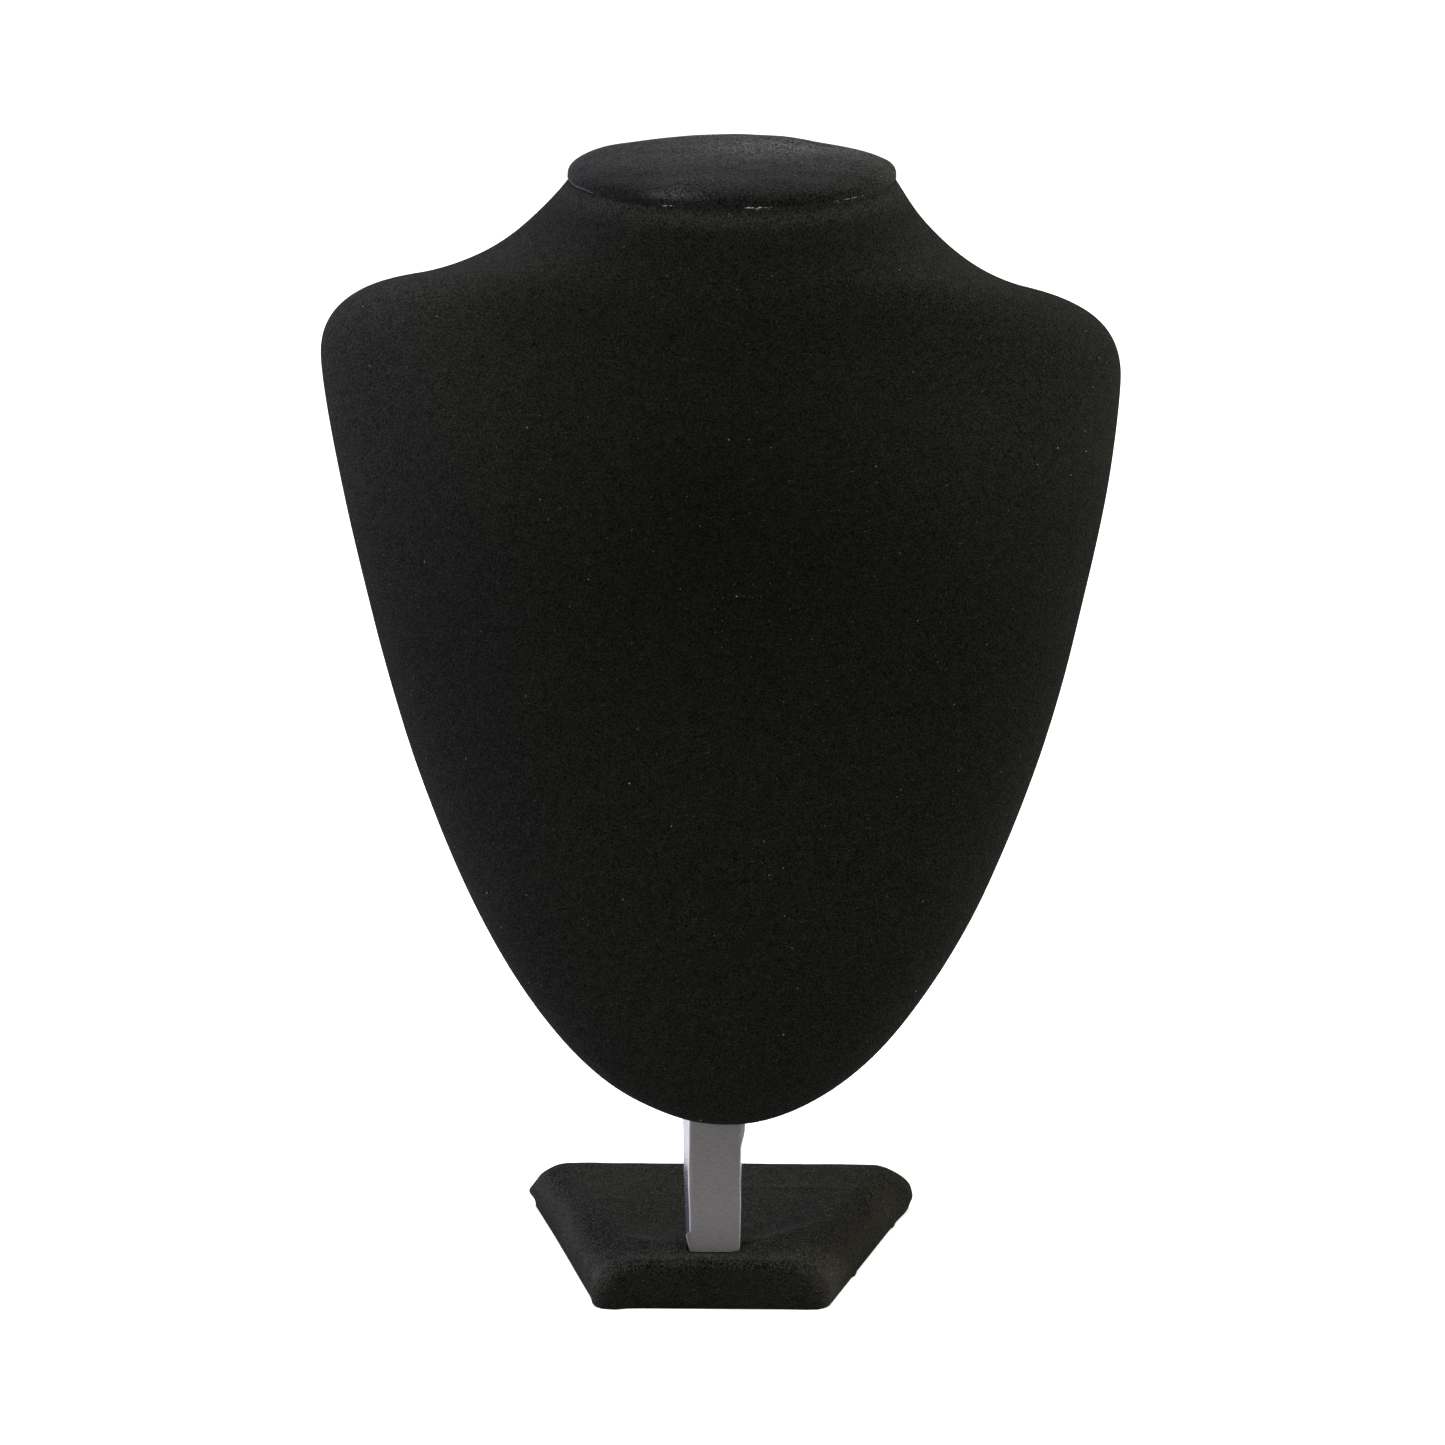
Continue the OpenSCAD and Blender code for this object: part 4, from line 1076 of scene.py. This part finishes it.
# %% Plain finishes for the solids
def plain_finish(name, dark, light, scale, rough, metal=0.0):
    """A finish from one noise: two shades, a little roughness change and a fine bump."""
    material, tree = new_tree(name)
    grain = noise(tree, on_object(tree), scale, 5.0, 0.62)
    show(tree, add_node(tree, "ShaderNodeBsdfPrincipled", {
        "Base Color": colour_mix(tree, grain, (*dark, 1), (*light, 1)), "Metallic": metal,
        "Roughness": math_node(tree, "MULTIPLY_ADD", grain, 0.15, rough), "Normal": bumps(tree, grain, 0.0002, 0.4)}))
    return material


black_card = plain_finish("black card", (0.010, 0.010, 0.011), (0.03, 0.03, 0.031), 700.0, 0.6)
fibreboard = plain_finish("fibreboard", (0.30, 0.21, 0.12), (0.46, 0.34, 0.21), 500.0, 0.7)
moulded = plain_finish("moulded shell", (0.30, 0.29, 0.27), (0.42, 0.41, 0.39), 260.0, 0.65)
zinc = plain_finish("zinc", (0.45, 0.46, 0.48), (0.68, 0.68, 0.69), 800.0, 0.28, metal=1.0)
for node_name, material in {
    "back_cover": black_card, "base_sheet": black_card, "neck_board": fibreboard,
    "strut_bar": fibreboard, "bust_batten": fibreboard, "bust_shell": moulded, "bust_screws": zinc, "base_screw": zinc,
}.items():
    dress(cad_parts[node_name], material)
dress(eased_board, fibreboard)
print("finishes on the solids")

# %% [markdown]
# ## Loose lint
#
# Velvet collects fibres. Each is a tiny bent tube with a few faces, laid on a point of a cloth grid and
# turned at random in the surface. They are scattered with a fixed seed, so every run is the same. A few
# larger ones lie where the photograph shows them, and a thread has come loose at the left of the cap's
# seam.

# %% Lint fibres
def fibres(spots, length, thickness, curl, seed):
    """Bent three-sided tubes. Each follows an arc in the surface: its direction turns by curl along its length."""
    places, normals = spots
    r = np.random.default_rng(seed)
    count, steps = len(places), 6
    side = np.cross(normals, r.normal(size=(count, 3)))
    side /= np.linalg.norm(side, axis=1, keepdims=True)
    other = np.cross(normals, side)
    reach = length * r.uniform(0.35, 1.0, count)
    bend = curl * r.normal(size=count)
    t = np.linspace(-0.5, 0.5, steps)
    angle = bend[:, None] * t[None]
    run = np.cumsum(np.cos(angle), 1) * (reach / steps)[:, None]
    drift = np.cumsum(np.sin(angle), 1) * (reach / steps)[:, None]
    rise = 0.05 + 0.22 * r.random(count)[:, None] * np.abs(np.sin(np.pi * (t[None] + r.random(count)[:, None])))
    line = (places[:, None] + run[..., None] * side[:, None] + drift[..., None] * other[:, None]
            + rise[..., None] * normals[:, None])
    thin = thickness * r.uniform(0.6, 1.3, count)[:, None] * np.sqrt(np.clip(1 - (2 * t[None]) ** 2 * 0.8, 0.05, 1))
    points = np.stack([line + thin[..., None] * (math.cos(a) * normals[:, None] + math.sin(a) * other[:, None])
                       for a in 2 * np.pi * np.arange(3) / 3], 2).reshape(-1, 3)
    per = steps * 3
    cells = grid_quads(steps, 3, wrap=True)
    faces = (cells[None] + (np.arange(count) * per)[:, None, None]).reshape(-1, 4).tolist()
    for k in range(0, count * per, per):
        faces += [[k, k + 1, k + 2], [k + per - 1, k + per - 2, k + per - 3]]
    return points, faces


def picked(face, normals, chosen):
    """The points of a grid with these numbers, and their normals."""
    return face.reshape(-1, 3)[chosen], normals.reshape(-1, 3)[chosen]


def scattered(face, normals, allowed, count, seed):
    """Random points of a grid, fairly shared by area, where the mask allows."""
    size = np.linalg.norm(np.cross(np.gradient(face, axis=0), np.gradient(face, axis=1)), axis=-1) * allowed
    share = (size / size.sum()).ravel()
    return picked(face, normals, np.random.default_rng(seed).choice(size.size, count, p=share))


more_here = (np.abs(q_grid) < 1.9) * (0.3 + hump(u_grid, 18, 55) * hump(v_grid, 110, 80))
on_top = (base_face[..., 2] > 3) & (from_slit > 1)
bust_count, cap_count, base_count = 900, 60, 260
on_bust = fibres(scattered(bust_face, bust_normals, more_here, bust_count, 41), 0.9, 0.025, 1.4, 51)
on_cap = fibres(scattered(cap_face, cap_normals, t_grid < 2, cap_count, 42), 0.8, 0.025, 1.8, 52)
on_base = fibres(scattered(base_face, base_normals, on_top, base_count, 43), 0.9, 0.04, 1.8, 53)
# Each bit of lint comes with the function that takes its frame to the table's. The base is in that frame already.
bits = [(from_bust, *on_bust), (from_neck, *on_cap), (np.asarray, *on_base)]
print("fibres scattered:", bust_count + cap_count + base_count)

# %% Specks and the thread that the photograph shows
# Hairs on the bust: across, up, length. Specks of glue on the cap: across, back. All in millimetres. Each
# sits at the grid's nearest point on the side that is seen.
bust_specks = [(84, 124, 2.2), (70, 217, 2.6), (92, 128, 1.2), (79, 115, 1.2), (-54, 64, 1.6), (-47, 166, 1.3),
               (-24, 163, 1.3), (-4, 166, 1.2), (21, 59, 1.4), (19.5, 48, 5.0), (83, 95.5, 2.8)]
cap_specks = [(-34.3, 11), (-29.3, 5), (-24.3, 9), (-24.8, -10), (-10.6, -1.5), (-4.7, -21.3), (9.8, -11),
              (16.2, 5.5), (17, -14.5), (40.5, -11)]
hair_t, glue_length, glue_t, out_of_sight = 0.04, 1.1, 0.1, 100
for k, (u, v, length) in enumerate(bust_specks):
    off = np.hypot(u_grid - u, v_grid - v) + out_of_sight * (np.abs(q_grid) > 1.2)
    bits.append((from_bust, *fibres(picked(bust_face, bust_normals, [off.argmin()]), length, hair_t, 1.2, 70 + k)))
for k, (u, v) in enumerate(cap_specks):
    off = np.hypot(cap_x - u, cap_y - v) + out_of_sight * (t_grid > 2)
    bits.append((from_neck, *fibres(picked(cap_face, cap_normals, [off.argmin()]), glue_length, glue_t, 1.2, 90 + k)))

thread_r, thread_off, thread_steps = 0.038, 0.12, 40
turn = np.radians(np.linspace(181, 214, thread_steps))
line = np.stack([(cap_half_x + thread_off) * np.cos(turn), (cap_half_y + thread_off) * np.sin(turn),
                 0.25 + 0.15 * np.sin(turn * 23)], -1)
out_way, up_way = np.stack([np.cos(turn), np.sin(turn), 0 * turn], -1), np.array([0.0, 0.0, 1.0])
thread = np.stack([line + thread_r * (math.cos(a) * out_way + math.sin(a) * up_way)
                   for a in np.radians([0, 90, 180, 270])], 1).reshape(-1, 3)
last = len(thread) - 1
ends = [[0, 1, 2, 3], [last, last - 1, last - 2, last - 3]]
bits.append((from_neck, thread, grid_quads(thread_steps, 4, wrap=True).tolist() + ends))
print(f"{len(bust_specks)} specks on the bust, {len(cap_specks)} on the cap, one thread")

# %% Lint as one piece
points, faces, shift = [], [], 0
for place_of, bit_points, bit_faces in bits:
    faces += [[i + shift for i in face] for face in bit_faces]
    points.append(place_of(bit_points))
    shift += len(bit_points)
lint_fibres = make_piece("lint_fibres", np.concatenate(points), faces)
dress(lint_fibres, plain_finish("lint", (0.04, 0.04, 0.036), (0.22, 0.215, 0.20), 700.0, 0.9))
print(f"lint: {len(lint_fibres.data.polygons)} faces")
